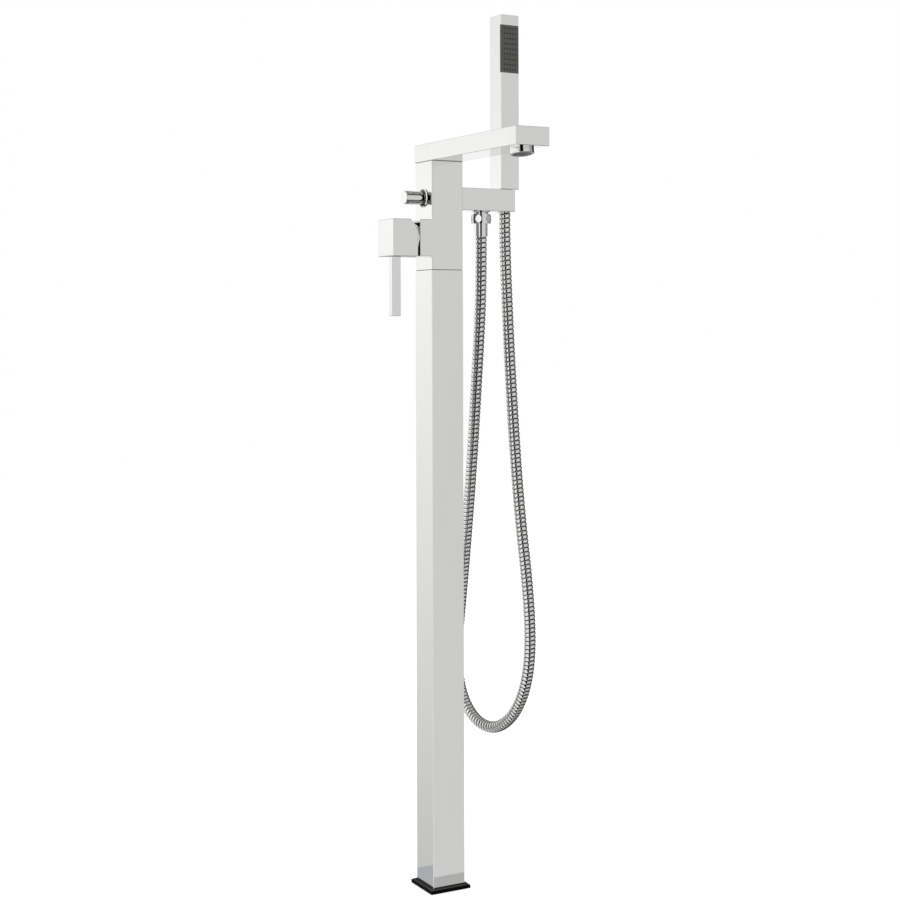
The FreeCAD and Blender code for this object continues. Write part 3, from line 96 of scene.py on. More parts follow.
class Wire:
    """One socket of a node tree. Python's operators on it add Math nodes, and node adds any other."""

    def __init__(self, tree, socket=None):
        self.tree = tree
        self.socket = socket

    def node(self, kind, settings, sockets, output=0):
        made = self.tree.nodes.new(kind)
        for name, value in settings.items():
            if name == "stops":
                ramp = made.color_ramp.elements
                for _ in range(len(value) - len(ramp)):
                    ramp.new(0.5)
                for element, (position, shade) in zip(ramp, value):
                    element.position = position
                    element.color = (shade, shade, shade, 1.0)
            else:
                setattr(made, name, value)
        for name, value in sockets.items():
            if isinstance(value, Wire):
                self.tree.links.new(value.socket, made.inputs[name])
            else:
                made.inputs[name].default_value = value
        return Wire(self.tree, made.outputs[output] if made.outputs else None)

    def maths(self, operation, first, second=0.0):
        return self.node("ShaderNodeMath", {"operation": operation}, {0: first, 1: second})

    def __add__(self, other):
        return self.maths("ADD", self, other)

    __radd__ = __add__

    def __sub__(self, other):
        return self.maths("SUBTRACT", self, other)

    def __rsub__(self, other):
        return self.maths("SUBTRACT", other, self)

    def __mul__(self, other):
        return self.maths("MULTIPLY", self, other)

    __rmul__ = __mul__

    def __truediv__(self, other):
        return self.maths("DIVIDE", self, other)

    def step(self, low, high):
        """0 below low, 1 above high, and smooth between them."""
        span = {"From Min": low, "From Max": high, "Value": self}
        return self.node("ShaderNodeMapRange", {"interpolation_type": "SMOOTHSTEP"}, span)

    def band(self, low, high, soft):
        """1 between low and high, 0 outside them, with soft edges."""
        return self.step(low - soft, low + soft) * (1.0 - self.step(high - soft, high + soft))

    def towards(self, other, share):
        """This value where share is 0, and the other where it is 1."""
        return self + (other - self) * share

    def dot(self, axis):
        return self.node("ShaderNodeVectorMath", {"operation": "DOT_PRODUCT"}, {0: self, 1: axis}, "Value")

    def blend(self, colour, other, share):
        """A colour between two colours."""
        sockets = {"Factor": share, "A": (*colour, 1.0), "B": (*other, 1.0)}
        made = self.tree.nodes.new("ShaderNodeMix")
        made.data_type = "RGBA"
        for name, value in sockets.items():
            socket = [s for s in made.inputs if s.name == name and s.enabled][0]
            if isinstance(value, Wire):
                self.tree.links.new(value.socket, socket)
            else:
                socket.default_value = value
        return Wire(self.tree, [s for s in made.outputs if s.enabled][0])


# The left wall's tone by the slope of the line of sight: pale at eye level, greyer towards the floor.
LEFT_PEAK = 1.1
LEFT_SLOPES = [(-0.40, 0.58), (-0.32, 0.63), (-0.08, 0.91), (0.03, 1.03), (0.07, 1.08), (0.13, 0.98), (0.2, 0.92)]
# The low parts' and the ceiling's tones, with the slopes, and on the right the bearings, where they fade in.
LOW_LEFT_TONE = 1.0
LOW_LEFT_SLOPES = (-0.8, -0.42)
LOW_RIGHT_TONE = 0.08
LOW_RIGHT_SLOPES = (-1.0, -0.45)
LOW_RIGHT_BEARINGS = (10.0, 40.0)
CEILING_TONE = 0.32
CEILING_SLOPES = (1.0, 1.4)
# Each stretch of wall: its tone, its first and last bearing in degrees, and how soft its edges are.
WALL_STRETCHES = [
    (0.695, 10.0, 180.0, 2.0),    # the grey screen
    (0.42, 76.0, 180.0, 8.0),     # its far half, further from the lamps
    (0.05, 112.0, 168.0, 6.0),    # the dark room behind it
    (0.30, -180.0, -150.0, 5.0),  # the dim corner behind the object
]
# The white back wall shows past the dark room at eye level only.
BACK_TONE = 0.95
BACK_BEARINGS = (168.0, 174.0)
EYE_LEVEL = (-0.28, 0.28, 0.06)
# The dark gap where the camera stands, wider on its left above eye level.
CAMERA_GAP = (-19.0, 12.0, 1.5)
HIGH_GAP = (-32.0, -10.0, 1.5)
HIGH_GAP_SLOPES = (0.14, 0.22)
# Diffuse surfaces take one plain tone from all the walls.
WALL_LIGHT = 0.72


def studio_walls():
    world = bpy.data.worlds.new("studio")
    scene.world = world
    world.use_nodes = True
    tree = world.node_tree
    tree.nodes.clear()
    bench = Wire(tree)
    way = bench.node("ShaderNodeTexCoord", {}, {}, "Generated")
    near = way.dot(tuple(-ahead))
    side = way.dot(tuple(aside))
    # degrees round the object, from the camera towards its right
    bearing = bench.maths("ARCTAN2", side, near) * math.degrees(1.0)
    level = bench.maths("SQRT", near * near + side * side)
    slope = way.dot(Z_AXIS) / bench.maths("MAXIMUM", level, 0.001)
    lowest = LEFT_SLOPES[0][0]
    spread = LEFT_SLOPES[-1][0] - lowest
    stops = [((s - lowest) / spread, shade / LEFT_PEAK) for s, shade in LEFT_SLOPES]
    ramp = bench.node("ShaderNodeValToRGB", {"stops": stops}, {"Fac": (slope - lowest) / spread}, "Color")
    tone = ramp * LEFT_PEAK
    tone = tone.towards(LOW_LEFT_TONE, 1.0 - slope.step(*LOW_LEFT_SLOPES))
    for shade, first, last, soft in WALL_STRETCHES:
        tone = tone.towards(shade, bearing.band(first, last, soft))
    tone = tone.towards(BACK_TONE, bearing.step(*BACK_BEARINGS) * slope.band(*EYE_LEVEL))
    tone = tone.towards(0.0, bearing.band(*CAMERA_GAP))
    tone = tone.towards(0.0, bearing.band(*HIGH_GAP) * slope.step(*HIGH_GAP_SLOPES))
    tone = tone.towards(CEILING_TONE, slope.step(*CEILING_SLOPES))
    low_right = (1.0 - slope.step(*LOW_RIGHT_SLOPES)) * bearing.step(*LOW_RIGHT_BEARINGS)
    tone = tone.towards(LOW_RIGHT_TONE, low_right)
    # the camera sees plain white, and only mirrors see the tones
    camera_ray = bench.node("ShaderNodeLightPath", {}, {}, "Is Camera Ray")
    glossy_ray = bench.node("ShaderNodeLightPath", {}, {}, "Is Glossy Ray")
    light = tone.towards(WALL_LIGHT, 1.0 - glossy_ray)
    light = light.towards(1.0, camera_ray)
    background = bench.node("ShaderNodeBackground", {}, {"Color": light, "Strength": 1.0})
    bench.node("ShaderNodeOutputWorld", {}, {"Surface": background})


def square_reach(bench, place):
    """The larger of |x| and |y|, whose level lines are squares round the column's axis."""
    x = bench.maths("ABSOLUTE", place.dot(X_AXIS))
    y = bench.maths("ABSOLUTE", place.dot(Y_AXIS))
    return bench.maths("MAXIMUM", x, y)


FLOOR_HALF = 6.0
FLOOR_CELLS = 8
FLOOR_DROP = 0.0003
PAPER = (0.9, 0.9, 0.9, 1.0)
PAPER_GLOW = 0.45
# A glowing grey square of painted shade under the foot, which only mirrors show: its two colours, their seam, and
# its edge.
SHADE_SQUARE_FRONT = (0.482, 0.482, 0.480)
SHADE_SQUARE_BACK = (0.450, 0.478, 0.510)
SHADE_SQUARE_SEAM = (-0.03, 0.03)
SHADE_SQUARE_EDGE = (0.073, 0.079)


def studio_floor():
    """A square sheet as a grid of quads. The camera sees it white with a faint shadow."""
    line = np.linspace(-FLOOR_HALF, FLOOR_HALF, FLOOR_CELLS + 1)
    x, y = np.meshgrid(line, line, indexing="ij")
    spots = np.stack([x, y, np.full_like(x, -FLOOR_DROP)], axis=-1).reshape(-1, 3)
    i, j = np.meshgrid(np.arange(FLOOR_CELLS), np.arange(FLOOR_CELLS), indexing="ij")
    row = FLOOR_CELLS + 1
    first = (i * row + j).ravel()
    quads = np.stack([first, first + row, first + row + 1, first + 1], axis=1)
    mesh = bpy.data.meshes.new("floor")
    mesh.from_pydata(spots.tolist(), [], quads.tolist())
    floor = bpy.data.objects.new("floor", mesh)
    scene.collection.objects.link(floor)
    material = bpy.data.materials.new("floor_paper")
    material.use_nodes = True
    tree = material.node_tree
    tree.nodes.clear()
    bench = Wire(tree)
    place = bench.node("ShaderNodeTexCoord", {}, {}, "Object")
    camera_ray = bench.node("ShaderNodeLightPath", {}, {}, "Is Camera Ray")
    glossy_ray = bench.node("ShaderNodeLightPath", {}, {}, "Is Glossy Ray")
    paper = bench.node("ShaderNodeBsdfDiffuse", {}, {"Color": PAPER})
    glow = bench.node("ShaderNodeEmission", {}, {"Color": (1.0, 1.0, 1.0, 1.0), "Strength": PAPER_GLOW})
    lit = bench.node("ShaderNodeAddShader", {}, {0: paper, 1: glow})
    seen = bench.node("ShaderNodeMixShader", {}, {"Fac": camera_ray, 1: paper, 2: lit})
    # mirrors show the wall's tone through the paper, and the glowing grey square of painted shade, bluer behind
    shade_square_colour = bench.blend(SHADE_SQUARE_FRONT, SHADE_SQUARE_BACK, place.dot(Y_AXIS).step(*SHADE_SQUARE_SEAM))
    shade = bench.node("ShaderNodeEmission", {}, {"Color": shade_square_colour, "Strength": 1.0})
    clear = bench.node("ShaderNodeBsdfTransparent", {}, {})
    # the painted shade ends at the square's edge, and past it the paper lets the walls through
    past = square_reach(bench, place).step(*SHADE_SQUARE_EDGE)
    mirrored = bench.node("ShaderNodeMixShader", {}, {"Fac": past, 1: shade, 2: clear})
    surface = bench.node("ShaderNodeMixShader", {}, {"Fac": glossy_ray, 1: seen, 2: mirrored})
    bench.node("ShaderNodeOutputMaterial", {}, {"Surface": surface})
    mesh.materials.append(material)


LAMP_SIZE = 1.6
LAMP_AIM = (0.0, 0.0, 0.6)


def studio_lamp(name, spot, watts):
    """A square soft lamp that looks at the column's upper half and doesn't show in mirrors."""
    lamp = bpy.data.lights.new(name, "AREA")
    lamp.size = LAMP_SIZE
    lamp.energy = watts
    holder = bpy.data.objects.new(name, lamp)
    aim = Vector(LAMP_AIM) - Vector(spot)
    holder.matrix_world = Matrix.Translation(spot) @ aim.to_track_quat("-Z", "Y").to_matrix().to_4x4()
    holder.visible_glossy = False
    scene.collection.objects.link(holder)


studio_walls()
studio_floor()
studio_lamp("key_lamp", (-1.6, -1.8, 2.4), 16.0)
studio_lamp("fill_lamp", (1.8, -1.2, 1.8), 8.0)


# ---------------------------------------------------------------- the base gasket and the joint ring
# Moulded black rubber: a square ring under the column that seals it to the floor, and a thin ring that
# shows as a dark line between the column and the mixer body. The gasket's upper ridge has a painted highlight.
RUBBER = (0.002, 0.002, 0.002)
RUBBER_DUST_AND_HIGHLIGHT = (0.075, 0.075, 0.072)
RUBBER_SHINE = 0.04
GASKET_PAINTED_HIGHLIGHT = (0.0262, 0.0275, 0.0002)


def finish(name, recipe):
    """A material. The recipe, a function of the bench and the piece's coordinates, gives the sockets."""
    material = bpy.data.materials.new(name)
    material.use_nodes = True
    tree = material.node_tree
    tree.nodes.clear()
    bench = Wire(tree)
    place = bench.node("ShaderNodeTexCoord", {}, {}, "Object")
    surface = bench.node("ShaderNodeBsdfPrincipled", {}, recipe(bench, place))
    bench.node("ShaderNodeOutputMaterial", {}, {"Surface": surface})
    return material


def grain(bench, place, stretch, detail):
    """Noise from 0 to 1 whose grains per metre along X, Y and Z are stretch."""
    scaled = bench.node("ShaderNodeMapping", {}, {"Vector": place, "Scale": stretch})
    return bench.node("ShaderNodeTexNoise", {}, {"Vector": scaled, "Scale": 1.0, "Detail": detail}, "Fac")


def fine_grain(bench, place, count, detail):
    """Noise whose grains are as long as they are wide, count of them in a metre."""
    return grain(bench, place, (count, count, count), detail)


def bumps(bench, height, distance):
    return bench.node("ShaderNodeBump", {}, {"Height": height, "Strength": 1.0, "Distance": distance})


def dress(material, *names):
    """Gives CAD nodes a material."""
    for name in names:
        for slot in frame["nodes"][name].material_slots:
            slot.material = material


def rubber_recipe(bench, place):
    pores = fine_grain(bench, place, 900.0, 3.0)
    painted_reflection = fine_grain(bench, place, 60.0, 4.0).step(0.5, 0.8)
    # a pale line painted along the ridge as its highlight
    painted_highlight = square_reach(bench, place).band(*GASKET_PAINTED_HIGHLIGHT)
    return {
        "Base Color": bench.blend(RUBBER, RUBBER_DUST_AND_HIGHLIGHT, 0.08 * painted_reflection + painted_highlight),
        "Roughness": 0.45 + 0.2 * painted_reflection,
        "Specular IOR Level": RUBBER_SHINE,
        "Normal": bumps(bench, pores, 0.00008),
    }


dress(finish("moulded_rubber", rubber_recipe), "base_gasket", "column_top_seal")


# ---------------------------------------------------------------- the column
# A square brass tube, drawn, buffed, then plated with nickel and chrome. The plate is a mirror with the
# faint waves that polishing leaves and thin wiping marks, and its upright edges have a painted highlight, a pale
# satin line.
CHROME = (0.862, 0.858, 0.848)
CHROME_DULL = (0.835, 0.832, 0.825)
WIPE_GRAIN = (70.0, 70.0, 12.0)
WAVE_HEIGHT = 0.00003
DRAWN = ((30.0, 30.0, 3.0), 0.03)
COLUMN_HALF = (0.023, 0.023)
EDGE_INSIDE = 0.0007
EDGE_OUTSIDE = 0.001
EDGE_SOFT = 0.0001


def plate_recipe(stretch, dullness):
    """Chrome plate whose polishing waves run with the stretch of the piece."""

    def recipe(bench, place):
        waves = grain(bench, place, stretch, 1.0)
        wipes = grain(bench, place, WIPE_GRAIN, 4.0).step(0.45, 0.75)
        return {
            "Base Color": bench.blend(CHROME, CHROME_DULL, wipes * 0.6),
            "Metallic": 1.0,
            "Roughness": dullness + 0.02 * wipes,
            "Normal": bumps(bench, waves, WAVE_HEIGHT),
        }

    return recipe


def edged_recipe(plate, half, centre=(0.0, 0.0, 0.0), turn=0.0):
    """Chrome plate on a square bar of these half widths, whose upright edges have a pale satin line as a painted
    highlight.
    """

    def recipe(bench, place):
        sockets = plate_recipe(*plate)(bench, place)
        moved = bench.node("ShaderNodeVectorMath", {"operation": "SUBTRACT"}, {0: place, 1: centre})
        turned = bench.node("ShaderNodeMapping", {}, {"Vector": moved, "Rotation": (0.0, 0.0, turn)})
        outer = []
        for axis, reach in zip((X_AXIS, Y_AXIS), half):
            out = bench.maths("ABSOLUTE", turned.dot(axis))
            outer.append(out.band(reach - EDGE_INSIDE, reach + EDGE_OUTSIDE, EDGE_SOFT))
        # a pale, duller and less metallic line on the upright edges: a painted highlight
        edge_highlight = outer[0] * outer[1]
        sockets["Roughness"] = sockets["Roughness"] + 0.35 * edge_highlight
        sockets["Metallic"] = 1.0 - 0.85 * edge_highlight
        return sockets

    return recipe


dress(finish("column_plate", edged_recipe(DRAWN, COLUMN_HALF)), "column_sleeve")


# ---------------------------------------------------------------- inside the column
# A turned brass block in the foot carries the column on two grub screws. Two steel rods tie it to the
# mixer body, and two copper risers with rubber rings bring the water up. None of it shows.
BRASS_TARNISHED = (0.62, 0.43, 0.19)
COPPER_TARNISHED = (0.60, 0.30, 0.19)


def metal_recipe(bright, dark, stretch, roughness):
    """Bare metal with tool marks that run along the stretch, and patches where it has tarnished."""

    def recipe(bench, place):
        marks = grain(bench, place, stretch, 3.0)
        tarnish = fine_grain(bench, place, 45.0, 4.0).step(0.45, 0.8)
        return {
            "Base Color": bench.blend(bright, dark, tarnish),
            "Metallic": 1.0,
            "Roughness": roughness + 0.12 * marks,
            "Normal": bumps(bench, marks, 0.00004),
        }

    return recipe


def moulded_recipe(light, dark, roughness):
    """Moulded plastic, rubber or ceramic with a faint mottle and a fine skin."""

    def recipe(bench, place):
        mottle = fine_grain(bench, place, 80.0, 3.0)
        skin = fine_grain(bench, place, 1200.0, 2.0)
        return {
            "Base Color": bench.blend(light, dark, mottle),
            "Roughness": roughness + 0.15 * skin,
            "Normal": bumps(bench, skin, 0.00002),
        }

    return recipe


brass = finish("turned_brass", metal_recipe((0.80, 0.60, 0.30), BRASS_TARNISHED, (90.0, 90.0, 900.0), 0.22))
copper = finish("drawn_copper", metal_recipe((0.86, 0.47, 0.31), COPPER_TARNISHED, (400.0, 400.0, 8.0), 0.25))
steel = finish("plated_steel", metal_recipe((0.66, 0.66, 0.67), (0.50, 0.50, 0.51), (600.0, 600.0, 60.0), 0.28))
seal = finish("seal_rubber", moulded_recipe((0.020, 0.020, 0.020), (0.035, 0.035, 0.034), 0.5))
dress(brass, "foot_block")
dress(steel, "column_grub_screws", "tie_rods", "tie_rod_nuts")
dress(copper, "hot_riser", "cold_riser")
dress(seal, "riser_o_rings")


# ---------------------------------------------------------------- the mixer body
# A cast and machined brass block with the cartridge's boss on its left, plated like the column. A thin
# dark line of painted shade runs along its top, in the joint under the spout.
CAST = ((22.0, 22.0, 22.0), 0.025)
SPOUT_JOINT = (0.9424, 0.9434)
JOINT_PAINTED_SHADE = (0.20, 0.20, 0.19)


def body_recipe(bench, place):
    sockets = plate_recipe(*CAST)(bench, place)
    # a thin dark line of painted shade along the top, under the spout
    joint_shade = place.dot(Z_AXIS).step(*SPOUT_JOINT)
    sockets["Base Color"] = bench.blend(CHROME, JOINT_PAINTED_SHADE, joint_shade)
    return sockets


dress(finish("body_plate", body_recipe), "mixer_body")


# ---------------------------------------------------------------- the cartridge
# A single lever cartridge of white plastic with two lapped ceramic discs, held by a brass ring nut. Only
# its turned cover shows, in the gap behind the lever, and its upper half is rubbed satin by cleaning.
TURNED = ((40.0, 8.0, 40.0), 0.012)
SHROUD_RUBBED = (0.8460, 0.8500)


def shroud_recipe(bench, place):
    sockets = plate_recipe(*TURNED)(bench, place)
    upper = place.dot(Z_AXIS).step(*SHROUD_RUBBED)
    sockets["Roughness"] = sockets["Roughness"] + 0.30 * upper
    sockets["Metallic"] = 1.0 - 0.6 * upper
    return sockets


plastic = finish("white_plastic", moulded_recipe((0.80, 0.80, 0.78), (0.72, 0.72, 0.69), 0.35))
ceramic = finish("lapped_ceramic", moulded_recipe((0.86, 0.84, 0.80), (0.80, 0.78, 0.74), 0.15))
dress(plastic, "cartridge_housing", "cartridge_carrier")
dress(ceramic, "ceramic_disc_fixed", "ceramic_disc_moving")
dress(seal, "cartridge_base_seals")
dress(steel, "cartridge_pin")
dress(brass, "cartridge_stem", "cartridge_nut")
dress(finish("shroud_plate", shroud_recipe), "cartridge_shroud")


# ---------------------------------------------------------------- the lever
# A cast block with a flat drawn bar below it, plated. A grub screw in its back clamps it on the
# cartridge's stem, under a small grey plug.
plug = finish("grey_plug", moulded_recipe((0.55, 0.56, 0.57), (0.48, 0.49, 0.50), 0.25))
block_plate = finish("cast_block_plate", plate_recipe(*CAST))
dress(block_plate, "lever_block")
dress(finish("drawn_tube_plate", plate_recipe(*DRAWN)), "lever_bar")
dress(steel, "lever_grub_screw")
dress(plug, "lever_screw_cap")


# ---------------------------------------------------------------- the diverter
# A turned knob on a brass spindle that slides in a bush with a rubber ring. The rosette lies round the
# bush: its slope has a painted dark reflection on it, speckled, and its outer rim is left bright.
KNOB_AXIS_HEIGHT = 0.89615
ROSETTE_RING_EDGE = (0.0108, 0.0114)
PAINTED_REFLECTION_GREY = (0.05, 0.05, 0.048)


def rosette_recipe(bench, place):
    """Turned plate with a painted dark reflection inside a radius from the knob's axis, sqrt(y^2 + (z - axis
    height)^2).
    """
    sockets = plate_recipe(*TURNED)(bench, place)
    across = place.dot(Y_AXIS)
    above = place.dot(Z_AXIS) - KNOB_AXIS_HEIGHT
    radius = bench.maths("SQRT", across * across + above * above)
    specks = fine_grain(bench, place, 500.0, 2.0).step(0.30, 0.45)
    # a painted dark reflection on the rosette's slope, broken into specks; the outer rim stays bright
    painted_reflection = (1.0 - radius.step(*ROSETTE_RING_EDGE)) * specks
    sockets["Base Color"] = bench.blend(CHROME, PAINTED_REFLECTION_GREY, painted_reflection)
    return sockets


turned_plate = finish("turned_plate", plate_recipe(*TURNED))
dress(finish("rosette_plate", rosette_recipe), "diverter_rosette")
dress(turned_plate, "diverter_bush", "diverter_knob")
dress(brass, "diverter_spindle")
dress(seal, "diverter_o_ring", "diverter_washer")


# ---------------------------------------------------------------- the spout and its outlet
# A flat square bar of cast brass, plated, on a brass nipple. In its turned outlet ring sits a dark
# moulded mesh, set back a little from the rim, over a plastic core.
SPOUT_CENTRE = (0.0, -0.105175, 0.0)
SPOUT_HALF = (0.0235, 0.129425)


def mesh_recipe(bench, place):
    lime = fine_grain(bench, place, 400.0, 3.0)
    return {
        "Base Color": bench.blend((0.10, 0.10, 0.11), (0.20, 0.20, 0.21), lime),
        "Roughness": 0.35 + 0.2 * lime,
        "Normal": bumps(bench, lime, 0.00005),
    }


dress(finish("spout_plate", edged_recipe(CAST, SPOUT_HALF, SPOUT_CENTRE)), "spout")
dress(brass, "spout_nipple")
dress(seal, "spout_seal", "aerator_washer")
dress(turned_plate, "aerator_housing")
dress(finish("outlet_mesh", mesh_recipe), "aerator_mesh")
dress(plastic, "aerator_core")


# ---------------------------------------------------------------- the arm and the hose's outlet
# A cast arm on the body's right side, screwed on by a brass connector. Its end is an open socket with a
# plastic liner, and a turned nipple and nut below it take the hose.
dress(block_plate, "handset_arm")
dress(brass, "arm_connector")
dress(seal, "arm_seal", "hose_washer")
dress(plastic, "holder_liner")
dress(turned_plate, "hose_outlet_nipple", "hose_nut", "hose_ferrule")


# ---------------------------------------------------------------- the shower hose
# A limp metal hose, 15 mm thick: a strip of stainless steel wound in a spiral whose turns hook into each
# other, over an inner rubber hose. It hangs in one loop from the outlet nut to the hand shower's cone.
HOSE_ROUTE = [
    (0.0632, 0.0, 0.8483), (0.0632, 0.0, 0.8160), (0.0635, 0.0024, 0.7640), (0.0638, 0.0087, 0.7060),
    (0.0642, 0.0160, 0.6500), (0.0645, 0.0232, 0.5940), (0.0648, 0.0310, 0.5375), (0.0652, 0.0404, 0.4810),
    (0.0656, 0.0502, 0.4250), (0.0659, 0.0600, 0.3720), (0.0660, 0.0690, 0.3270), (0.0658, 0.0745, 0.2875),
    (0.0661, 0.0717, 0.2515), (0.0680, 0.0570, 0.2190), (0.0729, 0.0295, 0.1970), (0.0804, -0.0040, 0.1950),
    (0.0869, -0.0334, 0.2130), (0.0896, -0.0555, 0.2410), (0.0909, -0.0695, 0.2735), (0.0914, -0.0756, 0.3105),
    (0.0917, -0.0740, 0.3540), (0.0926, -0.0650, 0.4055), (0.0940, -0.0510, 0.4605), (0.0953, -0.0390, 0.5160),
    (0.0963, -0.0297, 0.5720), (0.0973, -0.0215, 0.6285), (0.0981, -0.0143, 0.6850), (0.0987, -0.0085, 0.7410),
    (0.0991, -0.0032, 0.7990), (0.0994, 0.0, 0.8520), (0.0994, 0.0, 0.88335),
]
ROUTE_STEPS = 24
HOSE_RADIUS = 0.0076
HOSE_TUCK = 0.0055
HOSE_COLUMNS = 28
PITCH_LOW = 0.0050
PITCH_RISE = 0.0020
GROOVE_DEPTH = 0.0012
# One turn's section from groove to groove: the share of the pitch, and the share of the groove's depth.
TURN_SECTION = np.array([
    (0.00, 1.00), (0.08, 0.66), (0.18, 0.30), (0.32, 0.07), (0.50, 0.0), (0.68, 0.07), (0.82, 0.30), (0.92, 0.66),
])
# The part of the hose's length over which the share of the hand shower's lift is counted.
LIFT_START = 0.50
LIFT_END = 0.98
HOSE_BRIGHT = (0.88, 0.87, 0.85)
HOSE_GROOVE_SHADE_AND_DIRT = (0.06, 0.06, 0.055)


def route_line(route):
    """Points of the smooth spline whose control points are the route, read from a curve with no bevel."""
    curve = bpy.data.curves.new("route", "CURVE")
    curve.dimensions = "3D"
    curve.resolution_u = ROUTE_STEPS
    spline = curve.splines.new("NURBS")
    spline.points.add(len(route) - 1)
    for point, spot in zip(spline.points, route):
        point.co = (*spot, 1.0)
    spline.order_u = 3
    spline.use_endpoint_u = True
    carrier = bpy.data.objects.new("route", curve)
    scene.collection.objects.link(carrier)
    bpy.context.view_layer.update()
    mesh = bpy.data.meshes.new_from_object(carrier)
    line = np.array([v.co for v in mesh.vertices])
    bpy.data.objects.remove(carrier)
    bpy.data.meshes.remove(mesh)
    return line if np.linalg.norm(line[0] - np.array(route[0])) < 0.001 else line[::-1]


def wound_strip(line, radius, tuck):
    """A tube round a line, as one strip wound in a spiral.

    A turn takes PITCH_LOW of the line, plus PITCH_RISE for each metre of height above the loop's bottom,
    where the turns lie closer. Row k and column j lie k / rows + j / columns turns along the line and at
    the angle j / columns of a turn, so a row that has gone round meets the row one turn on. The radius
    depends on k alone: a domed crest between narrow grooves, where the turns hook together.
    """
    rows = len(TURN_SECTION)
    steps = np.linalg.norm(np.diff(line, axis=0), axis=1)
    along = np.concatenate([[0.0], np.cumsum(steps)])
    # turns wound up to each mark on the line, from the tuck before its start to the tuck past its end
    pitch = PITCH_LOW + PITCH_RISE * (line[:, 2] - line[:, 2].min())
    middle = (pitch[1:] + pitch[:-1]) / 2
    counted = np.concatenate([[0.0], np.cumsum(steps / middle)])
    wound = np.concatenate([[-tuck / pitch[0]], counted, [counted[-1] + tuck / pitch[-1]]])
    marks = np.concatenate([[-tuck], along, [along[-1] + tuck]])
    turns = int(wound[-1] - wound[0]) - 1
    k, j = np.meshgrid(np.arange(turns * rows + 1), np.arange(HOSE_COLUMNS), indexing="ij")
    drop = TURN_SECTION[k % rows, 1] * GROOVE_DEPTH
    s = np.interp(wound[0] + k // rows + TURN_SECTION[k % rows, 0] + j / HOSE_COLUMNS, wound, marks)
    # the middle of the tube and its heading at each point, straight on past both ends
    heading = np.gradient(line, axis=0)
    heading /= np.linalg.norm(heading, axis=1)[:, None]
    inside = np.clip(s, 0.0, along[-1])
    centre = np.stack([np.interp(inside, along, line[:, a]) for a in range(3)], axis=-1)
    way = np.stack([np.interp(inside, along, heading[:, a]) for a in range(3)], axis=-1)
    way /= np.linalg.norm(way, axis=-1)[..., None]
    centre = centre + way * (s - inside)[..., None]
    # a circle in the plane across the heading, which starts from the steady X direction
    steady = np.array(X_AXIS)
    across = steady - way * (way @ steady)[..., None]
    across /= np.linalg.norm(across, axis=-1)[..., None]
    other = np.cross(way, across)
    angle = 2 * np.pi * j / HOSE_COLUMNS
    size = (radius - drop)[..., None]
    spots = centre + size * (np.cos(angle)[..., None] * across + np.sin(angle)[..., None] * other)
    # quads between neighbours, and a seam from the last column to the first column one turn on
    number = np.arange(spots.shape[0] * HOSE_COLUMNS).reshape(-1, HOSE_COLUMNS)
    low = number[:-1]
    high = number[1:]
    skin = np.stack([low[:, :-1], low[:, 1:], high[:, 1:], high[:, :-1]], axis=-1).reshape(-1, 4)
    wrap = np.arange(number.shape[0] - rows - 1)
    corners = [number[wrap, -1], number[wrap + rows, 0], number[wrap + rows + 1, 0], number[wrap + 1, -1]]
    quads = np.concatenate([skin, np.stack(corners, axis=-1)])
    # a fan closes each end: round the first or last row, then back along the first or last pitch
    points = spots.reshape(-1, 3)
    first_rim = np.concatenate([number[0], number[rows:0:-1, 0]])
    last_rim = np.concatenate([number[-1, ::-1], number[-1 - rows:-1, -1]])
    hubs = np.array([points[first_rim].mean(0), points[last_rim].mean(0)])
    fans = []
    for hub, rim in enumerate((first_rim, last_rim)):
        fans.append(np.stack([np.full(len(rim), len(points) + hub), np.roll(rim, -1), rim], axis=-1))
    points = np.concatenate([points, hubs])
    depth = np.concatenate([(drop / GROOVE_DEPTH).ravel(), [1.0, 1.0]])
    share = np.concatenate([(inside / along[-1]).ravel(), [0.0, 1.0]])
    return points, quads, np.concatenate(fans), depth, share


def mesh_piece(name, points, faces, material):
    """A smooth object at the origin whose mesh has these points and faces."""
    mesh = bpy.data.meshes.new(name)
    mesh.from_pydata(points.tolist(), [], faces)
    mesh.materials.append(material)
    mesh.polygons.foreach_set("use_smooth", np.full(len(mesh.polygons), True))
    mesh.update()
    piece = bpy.data.objects.new(name, mesh)
    scene.collection.objects.link(piece)
    return piece


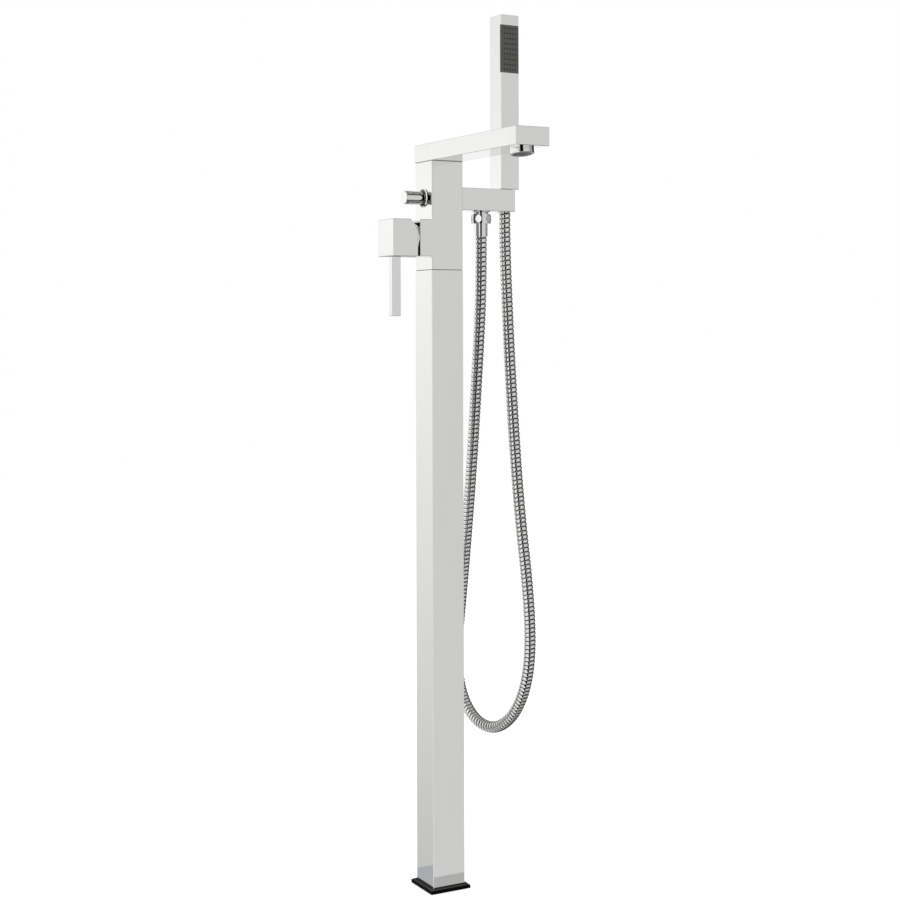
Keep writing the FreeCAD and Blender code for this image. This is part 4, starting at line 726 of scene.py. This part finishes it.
def hose_recipe(bench, place):
    """Bright strip on the crests, dark with painted shade and dirt, and duller, down in the grooves."""
    depth = bench.node("ShaderNodeAttribute", {"attribute_name": "groove"}, {}, "Fac")
    rub = fine_grain(bench, place, 160.0, 3.0)
    # painted shade and dirt darken the grooves
    groove_shade_and_dirt = depth.step(0.3, 0.8)
    return {
        "Base Color": bench.blend(HOSE_BRIGHT, HOSE_GROOVE_SHADE_AND_DIRT, groove_shade_and_dirt),
        "Metallic": 1.0,
        "Roughness": 0.03 + 0.03 * rub + 0.20 * groove_shade_and_dirt,
        "Normal": bumps(bench, rub, 0.00002),
    }


def shower_hose():
    line = route_line(HOSE_ROUTE)
    points, quads, fans, depth, share = wound_strip(line, HOSE_RADIUS, HOSE_TUCK)
    faces = quads.tolist() + fans.tolist()
    hose = mesh_piece("hose", points, faces, finish("wound_steel", hose_recipe))
    groove = hose.data.attributes.new("groove", "FLOAT", "POINT")
    groove.data.foreach_set("value", depth.astype(np.float32))
    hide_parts("shower_hose")
    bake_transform(hose)
    # the share of the hand shower's lift by the hose's length, none on the outlet's leg and the loop's foot; the
    # hose is not moved by it
    lift = np.clip((share - LIFT_START) / (LIFT_END - LIFT_START), 0.0, 1.0)


shower_hose()


# ---------------------------------------------------------------- the hand shower
# A drawn square tube, plated, a little turned in the arm's socket, on a brass tail that screws into the
# hose's cone nut. Its face is a dark grey moulded plate with 45 silicone nozzles a little proud of it.
HANDSET_TURN = math.radians(-2.2)
HANDSET_CENTRE = (0.0994, 0.0, 0.0)
HANDSET_HALF = (0.01405, 0.01405)


def spray_recipe(bench, place):
    speckle = fine_grain(bench, place, 700.0, 3.0)
    smear = grain(bench, place, (90.0, 90.0, 40.0), 3.0)
    return {
        "Base Color": bench.blend((0.056, 0.056, 0.049), (0.078, 0.078, 0.069), smear),
        "Roughness": 0.30 + 0.15 * speckle,
        "Normal": bumps(bench, speckle, 0.00004),
    }


def nozzle_recipe(bench, place):
    bloom = fine_grain(bench, place, 500.0, 2.0)
    return {
        "Base Color": bench.blend((0.008, 0.008, 0.008), (0.018, 0.018, 0.017), bloom),
        "Roughness": 0.42 + 0.2 * bloom,
    }


handset_recipe = edged_recipe(DRAWN, HANDSET_HALF, HANDSET_CENTRE, HANDSET_TURN)
dress(finish("handset_plate", handset_recipe), "handset_shell")
dress(turned_plate, "hose_end_ferrule", "hose_cone_nut")
dress(brass, "handset_tail")
dress(seal, "hose_end_washer")
dress(plastic, "handset_duct", "spray_chamber")
dress(finish("spray_plate_satin", spray_recipe), "spray_plate")
dress(finish("nozzle_silicone", nozzle_recipe), "nozzle_mat")
